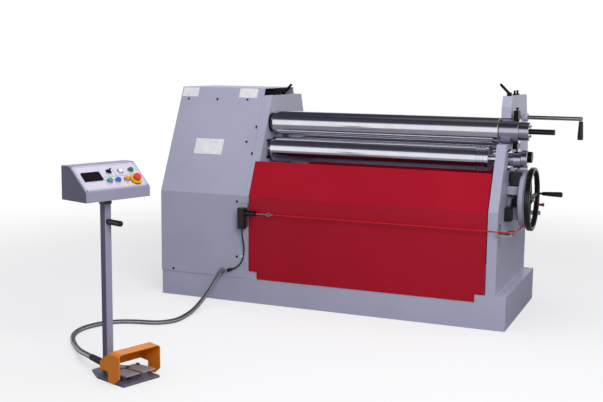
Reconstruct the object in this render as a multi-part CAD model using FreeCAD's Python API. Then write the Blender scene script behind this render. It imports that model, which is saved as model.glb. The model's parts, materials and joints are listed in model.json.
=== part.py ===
import FreeCAD, Part
import math
import os

# Three-roll plate rolling machine with a foot control stand, millimetres.
# The origin is the centre of the machine base's underside. +X runs along the
# rolls towards the open end frame, +Y to the back, +Z up.

# Base and end frames
base_length = 1990.0
base_depth = 800.0
base_height = 177.0
base_wall = 14.0
base_end_strip = 55.0
bolt_hole_radius = 9.0
bolt_hole_pitch = 205.0
bolt_hole_count = 4
bolt_hole_centre_y = 47.5
bolt_hole_inset = 33.0
frame_thickness = 50.0
front_bend_height = 603.0
back_bend_height = 790.0
front_lean = 0.457
back_lean = 0.3575
right_frame_height = 1176.0
left_frame_height = 1150.0
frame_corner_radius = 6.0

# Rolls
roll_length = 1270.0
roll_diameter = 135.0
left_roll_gap = 27.0
right_roll_gap = 8.0
top_roll_y = -145.0
top_roll_z = 998.0
pinch_roll_y = -175.0
pinch_roll_z = 853.0
pinch_roll_short = 37.0
rear_roll_y = 70.0
rear_roll_z = 850.0
rear_roll_short = 20.0
rear_slot_lean = 25.0
journal_diameter = 50.0
top_journal_diameter = 60.0
ball_radius = 44.7
ball_neck_radius = 18.0
ball_flat = 1.0
running_clearance = 0.05
slide_clearance = 0.3
seat_clearance = 0.5
wire_groove_width = 9.0
wire_groove_depth = 6.0
wire_groove_pitch = 17.0
wire_groove_count = 3
wire_groove_inset = 26.0

# Travel of the two adjustable rolls from where they stand
pinch_travel_up = 4.5
pinch_travel_down = 10.0
rear_travel_up = 140.0
rear_travel_down = 60.0
travel_margin = 6.0

# Bearing blocks and the swinging end bearing
pinch_block_width = 96.0
pinch_block_height = 84.0
rear_block_width = 80.0
rear_block_height = 80.0
housing_diameter = 130.0
housing_length = 99.0
housing_gap = 4.0
end_cap_diameter = 96.0
end_cap_length = 51.0
pull_rod_diameter = 28.0
pull_rod_length = 126.0
yoke_thickness = 16.0
yoke_gap = 10.0
yoke_band = 12.0
socket_ring_radius = 52.0
socket_flange_radius = 56.0
socket_flange_thickness = 8.0
socket_ring_tail = 10.0
socket_mouth_depth = 26.0
socket_flare = 5.0
rim_chamfer = 2.0
journal_gap = 10.0

# Sheet metal covers
cover_sheet = 3.0
cabinet_height = 1190.0
cover_seam_height = 139.0
guard_fold_z = 603.0
guard_top_z = 790.0
guard_notch = 50.0
guard_side_gap = 5.0
guard_left_overlap = 25.0
screw_radius = 6.0


def vec(x, y, z):
    return FreeCAD.Vector(x, y, z)


def box(x0, x1, y0, y1, z0, z1):
    low = vec(min(x0, x1), min(y0, y1), min(z0, z1))
    return Part.makeBox(abs(x1 - x0), abs(y1 - y0), abs(z1 - z0), low)


def rod(start, end, radius):
    """A round bar from one point to another."""
    axis = end - start
    return Part.makeCylinder(radius, axis.Length, start, axis)


def rod_x(x0, x1, y, z, radius):
    return rod(vec(x0, y, z), vec(x1, y, z), radius)


def rod_z(x, y, z0, z1, radius):
    return rod(vec(x, y, z0), vec(x, y, z1), radius)


def cone(start, end, radius_start, radius_end):
    axis = end - start
    return Part.makeCone(radius_start, radius_end, axis.Length, start, axis)


def plate_x(outline, x0, x1):
    """A plate standing across X, from its outline of (y, z) corners."""
    points = [vec(x0, y, z) for y, z in outline]
    face = Part.Face(Part.makePolygon(points + points[:1]))
    return face.extrude(vec(x1 - x0, 0, 0))


def plate_y(outline, y0, y1):
    points = [vec(x, y0, z) for x, z in outline]
    face = Part.Face(Part.makePolygon(points + points[:1]))
    return face.extrude(vec(0, y1 - y0, 0))


def plate_z(outline, z0, z1):
    points = [vec(x, y, z0) for x, y in outline]
    face = Part.Face(Part.makePolygon(points + points[:1]))
    return face.extrude(vec(0, 0, z1 - z0))


def half_plane_lines(points):
    """Straight edges through (x, radius) points of a turned piece's outline."""
    corners = [vec(x, 0, radius) for x, radius in points]
    return [Part.makeLine(a, b) for a, b in zip(corners, corners[1:])]


def half_plane_arc(centre_x, radius, x0, x1):
    """Arc over a turned piece's axis, about a centre on the axis, from x0 to x1."""
    def point(x):
        return vec(x, 0, math.sqrt(max(0.0, radius ** 2 - (x - centre_x) ** 2)))
    return Part.Arc(point(x0), point((x0 + x1) / 2), point(x1)).toShape()


def revolved(edges, y, z):
    """The solid of a half outline turned about a line along X."""
    face = Part.Face(Part.Wire(edges))
    return moved(face.revolve(vec(0, 0, 0), X_AXIS, 360), 0, y, z)


def fuse(first, *others):
    shape = first
    for other in others:
        shape = shape.fuse(other)
    return shape.removeSplitter()


def cut(shape, *tools):
    for tool in tools:
        shape = shape.cut(tool)
    return shape


def edges_where(shape, test):
    return [edge for edge in shape.Edges if test(edge)]


def along(edge, direction):
    """True for a straight edge that runs along a direction."""
    if not isinstance(edge.Curve, Part.Line):
        return False
    return abs(abs(edge.Curve.Direction.dot(direction)) - 1.0) < 1e-6


def is_circle(edge, radius):
    return isinstance(edge.Curve, Part.Circle) and abs(edge.Curve.Radius - radius) < 1e-3


def chamfer_rims(shape, radius, size, count=0):
    """Breaks the sharp round rims of one radius."""
    edges = edges_where(shape, lambda edge: is_circle(edge, radius))
    return shape.makeChamfer(size, edges)


def turned(shape, angle, centre, axis):
    copy = shape.copy()
    copy.rotate(centre, axis, angle)
    return copy


def moved(shape, x, y, z):
    copy = shape.copy()
    copy.translate(vec(x, y, z))
    return copy


def compound(shapes):
    return Part.makeCompound(shapes)


X_AXIS = vec(1, 0, 0)
Y_AXIS = vec(0, 1, 0)
Z_AXIS = vec(0, 0, 1)

# Places that follow from the driving sizes
half_length = base_length / 2
half_depth = base_depth / 2
right_out_x = half_length - base_end_strip
right_in_x = right_out_x - frame_thickness
top_roll_end_x = right_in_x - right_roll_gap
top_roll_start_x = top_roll_end_x - roll_length
left_in_x = top_roll_start_x - left_roll_gap
left_out_x = left_in_x - frame_thickness
ball_x = (left_in_x + left_out_x) / 2
roll_radius = roll_diameter / 2
housing_radius = housing_diameter / 2
housing_start_x = top_roll_end_x + housing_gap
housing_end_x = housing_start_x + housing_length
end_cap_end_x = housing_end_x + end_cap_length
mouth_low_z = top_roll_z - housing_radius - seat_clearance
mouth_high_z = top_roll_z + housing_radius + seat_clearance
mouth_back_y = top_roll_y + housing_radius + seat_clearance
rear_lean = math.radians(rear_slot_lean)
rear_way = vec(0, -math.sin(rear_lean), math.cos(rear_lean))
bolt_hole_x = half_length - bolt_hole_inset
pinch_end_x = top_roll_end_x - pinch_roll_short
rear_end_x = top_roll_end_x - rear_roll_short


def front_y(z):
    """Front edge of the end frames at a height."""
    return -half_depth + front_lean * max(0.0, z - front_bend_height)


def back_y(z):
    """Back edge of the end frames at a height."""
    return half_depth - back_lean * max(0.0, z - back_bend_height)


def frame_outline(top_z, grow=0.0, low_z=None):
    """Corners of an end frame, or of a cover that stands out from it."""
    low = base_height if low_z is None else low_z
    return [(front_y(low) - grow, low),
            (front_y(front_bend_height) - grow, front_bend_height),
            (front_y(top_z) - grow, top_z),
            (back_y(top_z) + grow, top_z),
            (back_y(back_bend_height) + grow, back_bend_height),
            (back_y(low) + grow, low)]


def base_frame():
    """Welded box base, closed below, with holding-down holes in its end strip."""
    body = box(-half_length, half_length, -half_depth, half_depth, 0, base_height)
    hollow = box(-half_length + base_wall, right_out_x - base_wall,
                 -half_depth + base_wall, half_depth - base_wall,
                 base_wall, base_height - base_wall)
    body = cut(body, hollow)
    holes = []
    for index in range(bolt_hole_count):
        y = bolt_hole_centre_y + (index - (bolt_hole_count - 1) / 2) * bolt_hole_pitch
        holes.append(rod_z(bolt_hole_x, y, -1, base_height + 1, bolt_hole_radius))
    return cut(body, *holes)


def pinch_window(x0, x1):
    half_width = pinch_block_width / 2 + slide_clearance
    low = pinch_roll_z - pinch_block_height / 2 - pinch_travel_down - travel_margin
    high = pinch_roll_z + pinch_block_height / 2 + pinch_travel_up + travel_margin
    return box(x0 - 1, x1 + 1, pinch_roll_y - half_width, pinch_roll_y + half_width, low, high)


def leaning_box(x0, x1, width, low, high):
    """A box across X that lies along the rear roll's travel."""
    shape = box(x0, x1, rear_roll_y - width / 2, rear_roll_y + width / 2,
                rear_roll_z + low, rear_roll_z + high)
    return turned(shape, rear_slot_lean, vec(0, rear_roll_y, rear_roll_z), X_AXIS)


def rear_window(x0, x1):
    reach = rear_block_height / 2 + travel_margin
    return leaning_box(x0 - 1, x1 + 1, rear_block_width + 2 * slide_clearance,
                       -rear_travel_down - reach, rear_travel_up + reach)


def left_end_frame():
    plate = plate_x(frame_outline(left_frame_height), left_out_x, left_in_x)
    plate = plate.makeFillet(frame_corner_radius, top_edges(plate, left_frame_height))
    ring_hole = rod_x(left_out_x - 1, left_in_x + 1, top_roll_y, top_roll_z, socket_ring_radius)
    screw_hole = rod_z(ball_x, left_lever_y, left_frame_height - left_screw_depth,
                       left_frame_height + 1, clamp_screw_radius + running_clearance)
    return cut(plate, ring_hole, pinch_window(left_out_x, left_in_x),
               rear_window(left_out_x, left_in_x), screw_hole)


def top_edges(shape, z):
    """The edges along X at the top corners of an end frame."""
    return edges_where(shape, lambda e: along(e, X_AXIS) and abs(e.Vertexes[0].Point.z - z) < 1e-6)


def right_end_frame():
    """The open end frame: its mouth lets the top roll swing out to the front."""
    plate = plate_x(frame_outline(right_frame_height), right_in_x, right_out_x)
    plate = plate.makeFillet(frame_corner_radius, top_edges(plate, right_frame_height))
    mouth = box(right_in_x - 1, right_out_x + 1, -half_depth - 10, mouth_back_y,
                mouth_low_z, mouth_high_z)
    corner = 18.0
    mouth = mouth.makeFillet(corner, edges_where(
        mouth, lambda e: along(e, X_AXIS) and abs(e.Vertexes[0].Point.y - mouth_back_y) < 1e-6))
    jaw_front = box(right_in_x - 1, right_out_x + 1, -half_depth, jaw_front_y,
                    mouth_high_z - 1, right_frame_height + 1)
    plate = cut(plate, mouth, jaw_front, pinch_window(right_in_x, right_out_x),
                rear_window(right_in_x, right_out_x), clamp_screw_hole())
    boss = rod_x(right_out_x - 1, right_out_x + crank_boss_length, crank_y, crank_z, crank_boss_radius)
    bore = rod_x(right_in_x + 10, right_out_x + crank_boss_length + 1, crank_y, crank_z,
                 crank_shaft_radius + running_clearance)
    return cut(fuse(plate, boss), bore)


jaw_front_y = -163.0
clamp_screw_y = -102.0
clamp_screw_radius = 10.0
clamp_screw_x = (right_in_x + right_out_x) / 2


def clamp_screw_hole():
    return rod_z(clamp_screw_x, clamp_screw_y, mouth_high_z - 1, right_frame_height + 1,
                 clamp_screw_radius + running_clearance)


def drive_cabinet():
    """Sheet cover of the drive: closed on five sides, shut by the left frame."""
    left = -half_length - cover_sheet
    grow = cover_sheet
    outer = plate_x(frame_outline(cabinet_height, grow, base_height), left, left_out_x)
    inner = plate_x(frame_outline(cabinet_height - cover_sheet, 0.0, base_height - 1),
                    -half_length, left_out_x + 1)
    shell = cut(outer, inner)
    apron_front = box(left, left_out_x, -half_depth - cover_sheet, -half_depth,
                      cover_seam_height, base_height)
    apron_back = moved(apron_front, 0, base_depth + cover_sheet, 0)
    apron_side = box(left, -half_length, -half_depth - cover_sheet, half_depth + cover_sheet,
                     cover_seam_height, base_height)
    shell = fuse(shell, apron_front, apron_back, apron_side)
    conduit_hole = rod(vec(conduit_x, -half_depth - 10, conduit_z),
                       vec(conduit_x, -half_depth, conduit_z), conduit_stub_radius)
    cable_hole = rod(vec(cable_gland_x, -half_depth - 10, cable_gland_z),
                     vec(cable_gland_x, -half_depth, cable_gland_z), cable_gland_radius + 2)
    return cut(shell, conduit_hole, cable_hole)


def guard_sheet(sign):
    """Folded sheet in front of (sign -1) or behind (sign +1) the end frames."""
    if sign < 0:
        edge, bend = front_y, front_bend_height
    else:
        edge, bend = back_y, back_bend_height
    top = guard_top_z if sign < 0 else back_guard_top_z
    inner = [(edge(base_height - guard_notch), cover_seam_height), (edge(bend), bend), (edge(top), top)]
    outline = inner + [(y + sign * cover_sheet, z) for y, z in reversed(inner)]
    x0 = left_in_x - guard_left_overlap
    x1 = right_in_x - guard_side_gap
    sheet = plate_x(outline, x0, x1)
    deep = half_depth + 20
    notches = []
    for a, b in ((x0 - 1, x0 + guard_notch), (x1 - guard_notch, x1 + 1)):
        notches.append(box(a, b, sign * (half_depth - 20), sign * deep, 0, guard_corner_z))
    return cut(sheet, *notches)


guard_corner_z = 181.0
back_guard_top_z = 900.0

# Hose and switch cable exits on the cabinet front
conduit_x = -603.0
conduit_z = 169.0
conduit_stub_radius = 14.0
cable_gland_x = -560.0
cable_gland_z = 178.0


def top_roll():
    """Bending roll with its ball end at the left and journal at the right, turned in one."""
    neck_x = ball_x + math.sqrt(ball_radius ** 2 - ball_neck_radius ** 2)
    start_x = ball_x - ball_radius + ball_flat
    start_radius = math.sqrt(ball_radius ** 2 - (start_x - ball_x) ** 2)
    ball = half_plane_arc(ball_x, ball_radius, start_x, neck_x)
    journal = top_journal_diameter / 2
    outline = [(neck_x, ball_neck_radius), (top_roll_start_x, ball_neck_radius),
               (top_roll_start_x, roll_radius - rim_chamfer), (top_roll_start_x + rim_chamfer, roll_radius),
               (top_roll_end_x - rim_chamfer, roll_radius), (top_roll_end_x, roll_radius - rim_chamfer),
               (top_roll_end_x, journal), (housing_end_x - journal_gap, journal),
               (housing_end_x - journal_gap, 0), (start_x, 0), (start_x, start_radius)]
    return revolved([ball] + half_plane_lines(outline), top_roll_y, top_roll_z)


def socket_ring():
    """Ring in the left frame with the spherical seat of the top roll's ball."""
    seat_radius = ball_radius + slide_clearance
    tail_x = left_out_x - socket_ring_tail
    mouth_x = ball_x + socket_mouth_depth
    face_x = left_in_x + socket_flange_thickness
    tail_radius = math.sqrt(seat_radius ** 2 - (ball_x - tail_x) ** 2)
    mouth_radius = math.sqrt(seat_radius ** 2 - socket_mouth_depth ** 2)
    seat = half_plane_arc(ball_x, seat_radius, tail_x, mouth_x)
    outline = [(mouth_x, mouth_radius), (face_x, mouth_radius + socket_flare),
               (face_x, socket_flange_radius), (left_in_x, socket_flange_radius),
               (left_in_x, socket_ring_radius), (tail_x, socket_ring_radius), (tail_x, tail_radius)]
    return revolved([seat] + half_plane_lines(outline), top_roll_y, top_roll_z)


def top_bearing_housing():
    housing = rod_x(housing_start_x, housing_end_x, top_roll_y, top_roll_z, housing_radius)
    housing = chamfer_rims(housing, housing_radius, 2.0)
    bore = rod_x(housing_start_x - 1, housing_end_x + 1, top_roll_y, top_roll_z,
                 top_journal_diameter / 2 + running_clearance)
    return cut(housing, bore)


def top_bearing_cap():
    cap = rod_x(housing_end_x, end_cap_end_x, top_roll_y, top_roll_z, end_cap_diameter / 2)
    rim = [e for e in cap.Edges if is_circle(e, end_cap_diameter / 2) and e.Curve.Center.x > housing_end_x + 1]
    return cap.makeFillet(5.0, rim)


def pull_rod():
    radius = pull_rod_diameter / 2
    bar = rod_x(end_cap_end_x, end_cap_end_x + pull_rod_length, top_roll_y, top_roll_z, radius)
    rim = [e for e in bar.Edges if is_circle(e, radius) and e.Curve.Center.x > end_cap_end_x + 1]
    return bar.makeFillet(4.0, rim)


def bearing_yoke():
    """Curved strap that grips the end bearing outside the frame."""
    x0 = right_out_x + yoke_gap
    reach = housing_radius + yoke_band
    outline = [(top_roll_y + dy, top_roll_z + dz) for dy, dz in (
        (-18, reach + 8), (18, reach + 8), (reach * 0.8, reach * 0.6), (reach, 0), (reach, -30),
        (reach + 12, -88), (50, -90), (20, -reach), (-40, -reach * 0.85), (-reach * 0.95, -30),
        (-reach * 0.95, 30), (-reach * 0.75, reach * 0.7))]
    strap = plate_x(outline, x0, x0 + yoke_thickness)
    strap = strap.makeFillet(6.0, edges_where(strap, lambda e: along(e, X_AXIS)))
    bore = rod_x(x0 - 1, x0 + yoke_thickness + 1, top_roll_y, top_roll_z, housing_radius)
    return cut(strap, bore)


def pinch_roll():
    start = top_roll_start_x
    body = rod_x(start, pinch_end_x, pinch_roll_y, pinch_roll_z, roll_radius)
    body = chamfer_rims(body, roll_radius, 2.0)
    grooves = []
    for index in range(wire_groove_count):
        x = pinch_end_x - wire_groove_inset - index * wire_groove_pitch
        ring = rod_x(x - wire_groove_width / 2, x + wire_groove_width / 2,
                     pinch_roll_y, pinch_roll_z, roll_radius + 5)
        core = rod_x(x - wire_groove_width, x + wire_groove_width,
                     pinch_roll_y, pinch_roll_z, roll_radius - wire_groove_depth)
        grooves.append(cut(ring, core))
    body = cut(body, *grooves)
    shaft = rod_x(left_out_x - 20, right_out_x + 20, pinch_roll_y, pinch_roll_z,
                  journal_diameter / 2)
    return fuse(body, shaft)


def pinch_block(x0, x1):
    block = box(x0, x1, pinch_roll_y - pinch_block_width / 2, pinch_roll_y + pinch_block_width / 2,
                pinch_roll_z - pinch_block_height / 2, pinch_roll_z + pinch_block_height / 2)
    block = block.makeChamfer(3.0, edges_where(block, lambda e: along(e, X_AXIS)))
    bore = rod_x(x0 - 1, x1 + 1, pinch_roll_y, pinch_roll_z, journal_diameter / 2 + running_clearance)
    return cut(block, bore)


pinch_nose_length = 60.0
pinch_nose_diameter = 83.0
pinch_drum_length = 31.0
pinch_drum_diameter = 89.0
pinch_knob_length = 23.0
pinch_knob_diameter = 57.0
block_standout = 5.0


def pinch_end_bearing():
    """Nose bearing outside the right frame that closes over the journal's end."""
    x0 = right_out_x + block_standout
    x1 = x0 + pinch_nose_length
    nose = rod_x(x0, x1, pinch_roll_y, pinch_roll_z, pinch_nose_diameter / 2)
    bore = rod_x(x0 - 1, right_out_x + 22, pinch_roll_y, pinch_roll_z,
                 journal_diameter / 2 + running_clearance)
    return cut(nose, bore)


def pinch_drum():
    x0 = right_out_x + block_standout + pinch_nose_length
    drum = rod_x(x0, x0 + pinch_drum_length, pinch_roll_y, pinch_roll_z, pinch_drum_diameter / 2)
    return chamfer_rims(drum, pinch_drum_diameter / 2, 3.0)


def pinch_knob():
    x0 = right_out_x + block_standout + pinch_nose_length + pinch_drum_length
    knob = rod_x(x0, x0 + pinch_knob_length, pinch_roll_y, pinch_roll_z, pinch_knob_diameter / 2)
    return chamfer_rims(knob, pinch_knob_diameter / 2, 3.0)


def rear_roll():
    body = rod_x(top_roll_start_x, rear_end_x, rear_roll_y, rear_roll_z, roll_radius)
    body = chamfer_rims(body, roll_radius, 2.0)
    shaft = rod_x(left_out_x - 20, right_out_x + 15, rear_roll_y, rear_roll_z, journal_diameter / 2)
    return fuse(body, shaft)


def rear_block(x0, x1):
    half = rear_block_height / 2
    block = leaning_box(x0, x1, rear_block_width, -half, half)
    block = block.makeChamfer(3.0, edges_where(block, lambda e: along(e, X_AXIS)))
    bore = rod_x(x0 - 1, x1 + 1, rear_roll_y, rear_roll_z, journal_diameter / 2 + running_clearance)
    return cut(block, bore)


# Handwheel and its gear bracket on the right frame
handwheel_x = 1055.0
handwheel_y = -110.0
handwheel_z = 645.0
handwheel_rim_radius = 155.0
handwheel_bar_radius = 11.0
handwheel_hub_radius = 28.0
handwheel_hub_length = 28.0
handwheel_spoke_count = 3
handwheel_shaft_radius = 12.0
grip_start_x = 1093.0
grip_pin_radius = 6.0
grip_pin_depth = 40.0
grip_length = 102.0
grip_radius = 15.0
grip_angle = 4.5
bracket_depth = 80.0


def handwheel():
    """Cast wheel: a round rim, three tapered spokes and a hub on its shaft."""
    centre = vec(handwheel_x, handwheel_y, handwheel_z)
    rim = Part.makeTorus(handwheel_rim_radius, handwheel_bar_radius, centre, X_AXIS)
    hub = rod_x(handwheel_x - handwheel_hub_length, handwheel_x + 8, handwheel_y, handwheel_z,
                handwheel_hub_radius)
    wheel = rim.fuse(hub)
    for index in range(handwheel_spoke_count):
        angle = 90.0 + index * 360.0 / handwheel_spoke_count
        spoke = cone(centre + vec(-15, 0, 0), centre + vec(0, handwheel_rim_radius, 0), 13.0, 8.0)
        wheel = wheel.fuse(turned(spoke, angle, centre, X_AXIS))
    shaft = rod_x(right_out_x + bracket_depth - 30, handwheel_x, handwheel_y, handwheel_z,
                  handwheel_shaft_radius)
    return fuse(wheel, shaft, grip_pin())


def grip_place():
    """Where the handle stands on the wheel's rim."""
    angle = math.radians(grip_angle)
    return (handwheel_y + handwheel_rim_radius * math.cos(angle),
            handwheel_z + handwheel_rim_radius * math.sin(angle))


def grip_pin():
    y, z = grip_place()
    return rod_x(handwheel_x, grip_start_x + grip_pin_depth, y, z, grip_pin_radius)


def handwheel_grip():
    """Turned plastic handle on the pin that stands out of the rim."""
    y, z = grip_place()
    body = cone(vec(grip_start_x, y, z), vec(grip_start_x + grip_length, y, z), grip_radius - 3, grip_radius)
    return cut(body, grip_pin())


def gear_bracket():
    """Cast bracket on the right frame with the bore of the wheel's shaft."""
    x0 = right_out_x
    plate = box(x0, x0 + 14, handwheel_y - 60, handwheel_y + 110, handwheel_z - 110, handwheel_z + 150)
    boss = rod_x(x0, x0 + bracket_depth, handwheel_y, handwheel_z, 45.0)
    shelf = box(x0, x0 + 62, handwheel_y - 30, handwheel_y + 70, handwheel_z + 40, handwheel_z + 120)
    body = fuse(plate, boss, shelf)
    bore = rod_x(x0 + bracket_depth - 40, x0 + bracket_depth + 1, handwheel_y, handwheel_z,
                 handwheel_shaft_radius + running_clearance)
    return cut(body, bore)


# Position box low on the right frame's face
position_box_y = -212.0
position_box_z = 575.0


def position_box():
    shape = box(right_out_x, right_out_x + 34, position_box_y - 35, position_box_y + 35,
                position_box_z - 36, position_box_z + 36)
    return shape.makeChamfer(4.0, edges_where(shape, lambda e: along(e, X_AXIS)))


# Crank on the cross shaft behind the top bearing
crank_y = 245.0
crank_z = 1050.0
crank_shaft_radius = 11.0
crank_end_x = 1240.0
crank_grip_radius = 14.0
crank_grip_length = 100.0
crank_boss_radius = 22.0
crank_boss_length = 16.0


def crank_bar():
    bar = rod_x(right_in_x + 12, crank_end_x, crank_y, crank_z, crank_shaft_radius)
    elbow = Part.makeSphere(crank_shaft_radius, vec(crank_end_x, crank_y, crank_z))
    pin = rod_z(crank_end_x, crank_y, crank_z - 20, crank_z, 8.0)
    return fuse(bar, elbow, pin)


def crank_grip():
    low = crank_z - 14 - crank_grip_length
    body = cone(vec(crank_end_x, crank_y, low), vec(crank_end_x, crank_y, crank_z - 14),
                crank_grip_radius - 1, crank_grip_radius)
    pin = rod_z(crank_end_x, crank_y, crank_z - 20, crank_z, 8.0)
    return cut(body, pin)


# Clamp levers on top of the end frames
lever_rod_radius = 7.0
lever_length = 62.0
lever_head_radius = 13.0
lever_head_height = 18.0
left_lever_y = 70.0
left_screw_depth = 30.0


def clamp_lever(x, y, z, side, screw_low):
    """A screw with a turned head and one leaning arm."""
    seat = z + slide_clearance
    head = rod_z(x, y, seat, seat + lever_head_height, lever_head_radius)
    screw = rod_z(x, y, screw_low, z + 2, clamp_screw_radius)
    start = vec(x, y, z + lever_head_height - 6)
    end = start + vec(side * lever_length * 0.72, 0, lever_length * 0.72)
    arm = rod(start, end, lever_rod_radius)
    tip = Part.makeSphere(lever_rod_radius, end)
    return fuse(head, screw, arm, tip)


def clamp_lever_right():
    return clamp_lever(clamp_screw_x, clamp_screw_y, right_frame_height, -1,
                       mouth_high_z + 20)


def clamp_lever_left():
    return clamp_lever(ball_x, left_lever_y, left_frame_height, 1,
                       left_frame_height - left_screw_depth + 1)


def lock_knobs(x, z, places):
    """Small wing nuts that stand on top of an end frame."""
    knobs = []
    for y in places:
        collar = rod_z(x, y, z, z + 8, 11.0)
        left_wing = rod(vec(x, y - 5, z + 6), vec(x, y - 12, z + 24), 4.0)
        right_wing = rod(vec(x, y + 5, z + 6), vec(x, y + 12, z + 24), 4.0)
        knobs.append(fuse(collar, left_wing, right_wing))
    return compound(knobs)


# Emergency trip rope, its switch and its eyes
switch_x = -468.0
switch_y = -430.0
switch_low_z = 425.0
switch_high_z = 540.0
switch_head_x = -386.0
rope_z = 513.0
rope_radius = 3.5
rope_start_x = -296.0
rope_turn_x = 1010.0
rope_y = -432.0
pulley_radius = 18.0
ferrule_length = 16.0


def rope_switch():
    """Pull switch: a body with a round head that takes the rope's ring."""
    body = box(switch_x - 20, switch_x + 20, switch_y - 20, switch_y + 17, switch_low_z, switch_high_z)
    body = body.makeFillet(4.0, edges_where(body, lambda e: along(e, Z_AXIS)))
    neck = rod_x(switch_x + 18, switch_head_x, rope_y, rope_z, 14.0)
    return fuse(body, neck)


def switch_bracket():
    return box(switch_x - 26, switch_x + 26, switch_y + 17, -half_depth - cover_sheet,
               switch_low_z + 10, switch_high_z + 22)


def rope_ring():
    """Eye between the switch head and the rope."""
    centre = vec(rope_start_x - 9, rope_y, rope_z)
    ring = Part.makeTorus(9.0, 2.5, centre, Y_AXIS)
    link = rod_x(switch_head_x, rope_start_x - 17, rope_y, rope_z, 3.0)
    ferrule = rod_x(rope_start_x, rope_start_x + ferrule_length, rope_y, rope_z, rope_radius + 1.5)
    return fuse(ring, link, ferrule)


def trip_rope():
    """Taut rope along the front that turns round the pulley and runs to the back."""
    bend_y = rope_y + pulley_radius
    front = rod_x(rope_start_x + ferrule_length, rope_turn_x, rope_y, rope_z, rope_radius)
    turn_edge = Part.makeCircle(pulley_radius, vec(rope_turn_x, bend_y, rope_z), Z_AXIS, 270, 360)
    profile = Part.Wire(Part.makeCircle(rope_radius, vec(rope_turn_x, rope_y, rope_z), X_AXIS))
    turn = Part.Wire(turn_edge).makePipeShell([profile], True, True)
    back = rod(vec(rope_turn_x + pulley_radius, bend_y, rope_z),
               vec(rope_turn_x + pulley_radius, rope_anchor_y, rope_z), rope_radius)
    return fuse(front, turn, back)


rope_anchor_y = 300.0


def rope_pulley():
    """Grooved pulley on a pin in a bracket from the right frame."""
    centre = vec(rope_turn_x, rope_y + pulley_radius, rope_z)
    height = 6.0
    wheel = rod(centre - vec(0, 0, height), centre + vec(0, 0, height), pulley_radius + 1)
    groove = Part.makeTorus(pulley_radius, rope_radius + 0.3, centre, Z_AXIS)
    return cut(wheel, groove)


def rope_bracket():
    """Arm from the right frame that carries the pulley's pin."""
    y = rope_y + pulley_radius
    low = rope_z - 14
    arm = box(right_out_x, rope_turn_x + 12, y - 10, y + 40, low - 6, low)
    foot = box(right_out_x, right_out_x + 6, y + 20, y + 70, low - 40, low + 40)
    pin = rod_z(rope_turn_x, y, low - 1, rope_z - 6, 5.0)
    return fuse(arm, foot, pin)


def rope_anchor():
    """Eye bolt that holds the far end of the rope at the back of the right frame."""
    x = rope_turn_x + pulley_radius
    arm = box(right_out_x, x + 8, rope_anchor_y, rope_anchor_y + 8, rope_z - 12, rope_z + 12)
    return arm


# Control stand: its own square frame, turned on the floor in front of the machine
stand_angle = 70.9
stand_x = -257.9
stand_y = -1821.4
pedal_half_width = 97.0
pedal_front_y = -17.0
pedal_corner_y = 165.0
pedal_back_y = 257.0
pedal_back_half = 55.0
pedal_thickness = 10.0
pole_size = 35.0
pole_wall = 3.0
pole_y = 215.0
console_low_z = 762.0
console_lip_z = 805.0
console_top_z = 905.0
console_half_width = 165.0
console_front_y = 120.0
console_fold_y = 233.0
console_back_y = 290.0
console_wall = 2.0
panel_thickness = 2.0
collar_height = 27.0
stand_grip_z = 660.0
stand_grip_radius = 12.5
stand_grip_length = 92.0
hood_half_width = 109.0
hood_wall = 4.0
hood_foot = 14.0
hood_back_y = 127.0
treadle_half_gap = 8.0
treadle_width = 70.0
treadle_front_y = -12.0
treadle_hinge_y = 104.0
treadle_hinge_z = 34.0
treadle_thickness = 5.0
treadle_pin_radius = 4.0


def place_stand(shape):
    """Turns a shape from the stand's own frame to its place on the floor."""
    copy = shape.copy()
    copy.rotate(vec(0, 0, 0), Z_AXIS, stand_angle)
    copy.translate(vec(stand_x, stand_y, 0))
    return copy


def stand_point(x, y, z):
    angle = math.radians(stand_angle)
    return vec(stand_x + x * math.cos(angle) - y * math.sin(angle),
               stand_y + x * math.sin(angle) + y * math.cos(angle), z)


def stand_direction(x, y, z):
    return stand_point(x, y, z) - stand_point(0, 0, 0)


def pedal_plate():
    outline = [(-pedal_half_width, pedal_front_y), (pedal_half_width, pedal_front_y),
               (pedal_half_width, pedal_corner_y), (pedal_back_half, pedal_back_y),
               (-pedal_back_half, pedal_back_y), (-pedal_half_width, pedal_corner_y)]
    plate = plate_z(outline, 0, pedal_thickness)
    plate = plate.makeFillet(4.0, edges_where(plate, lambda e: along(e, Z_AXIS)))
    return plate.makeChamfer(2.0, edges_where(plate, lambda e: e.BoundBox.ZMin > pedal_thickness - 0.01))


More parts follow.
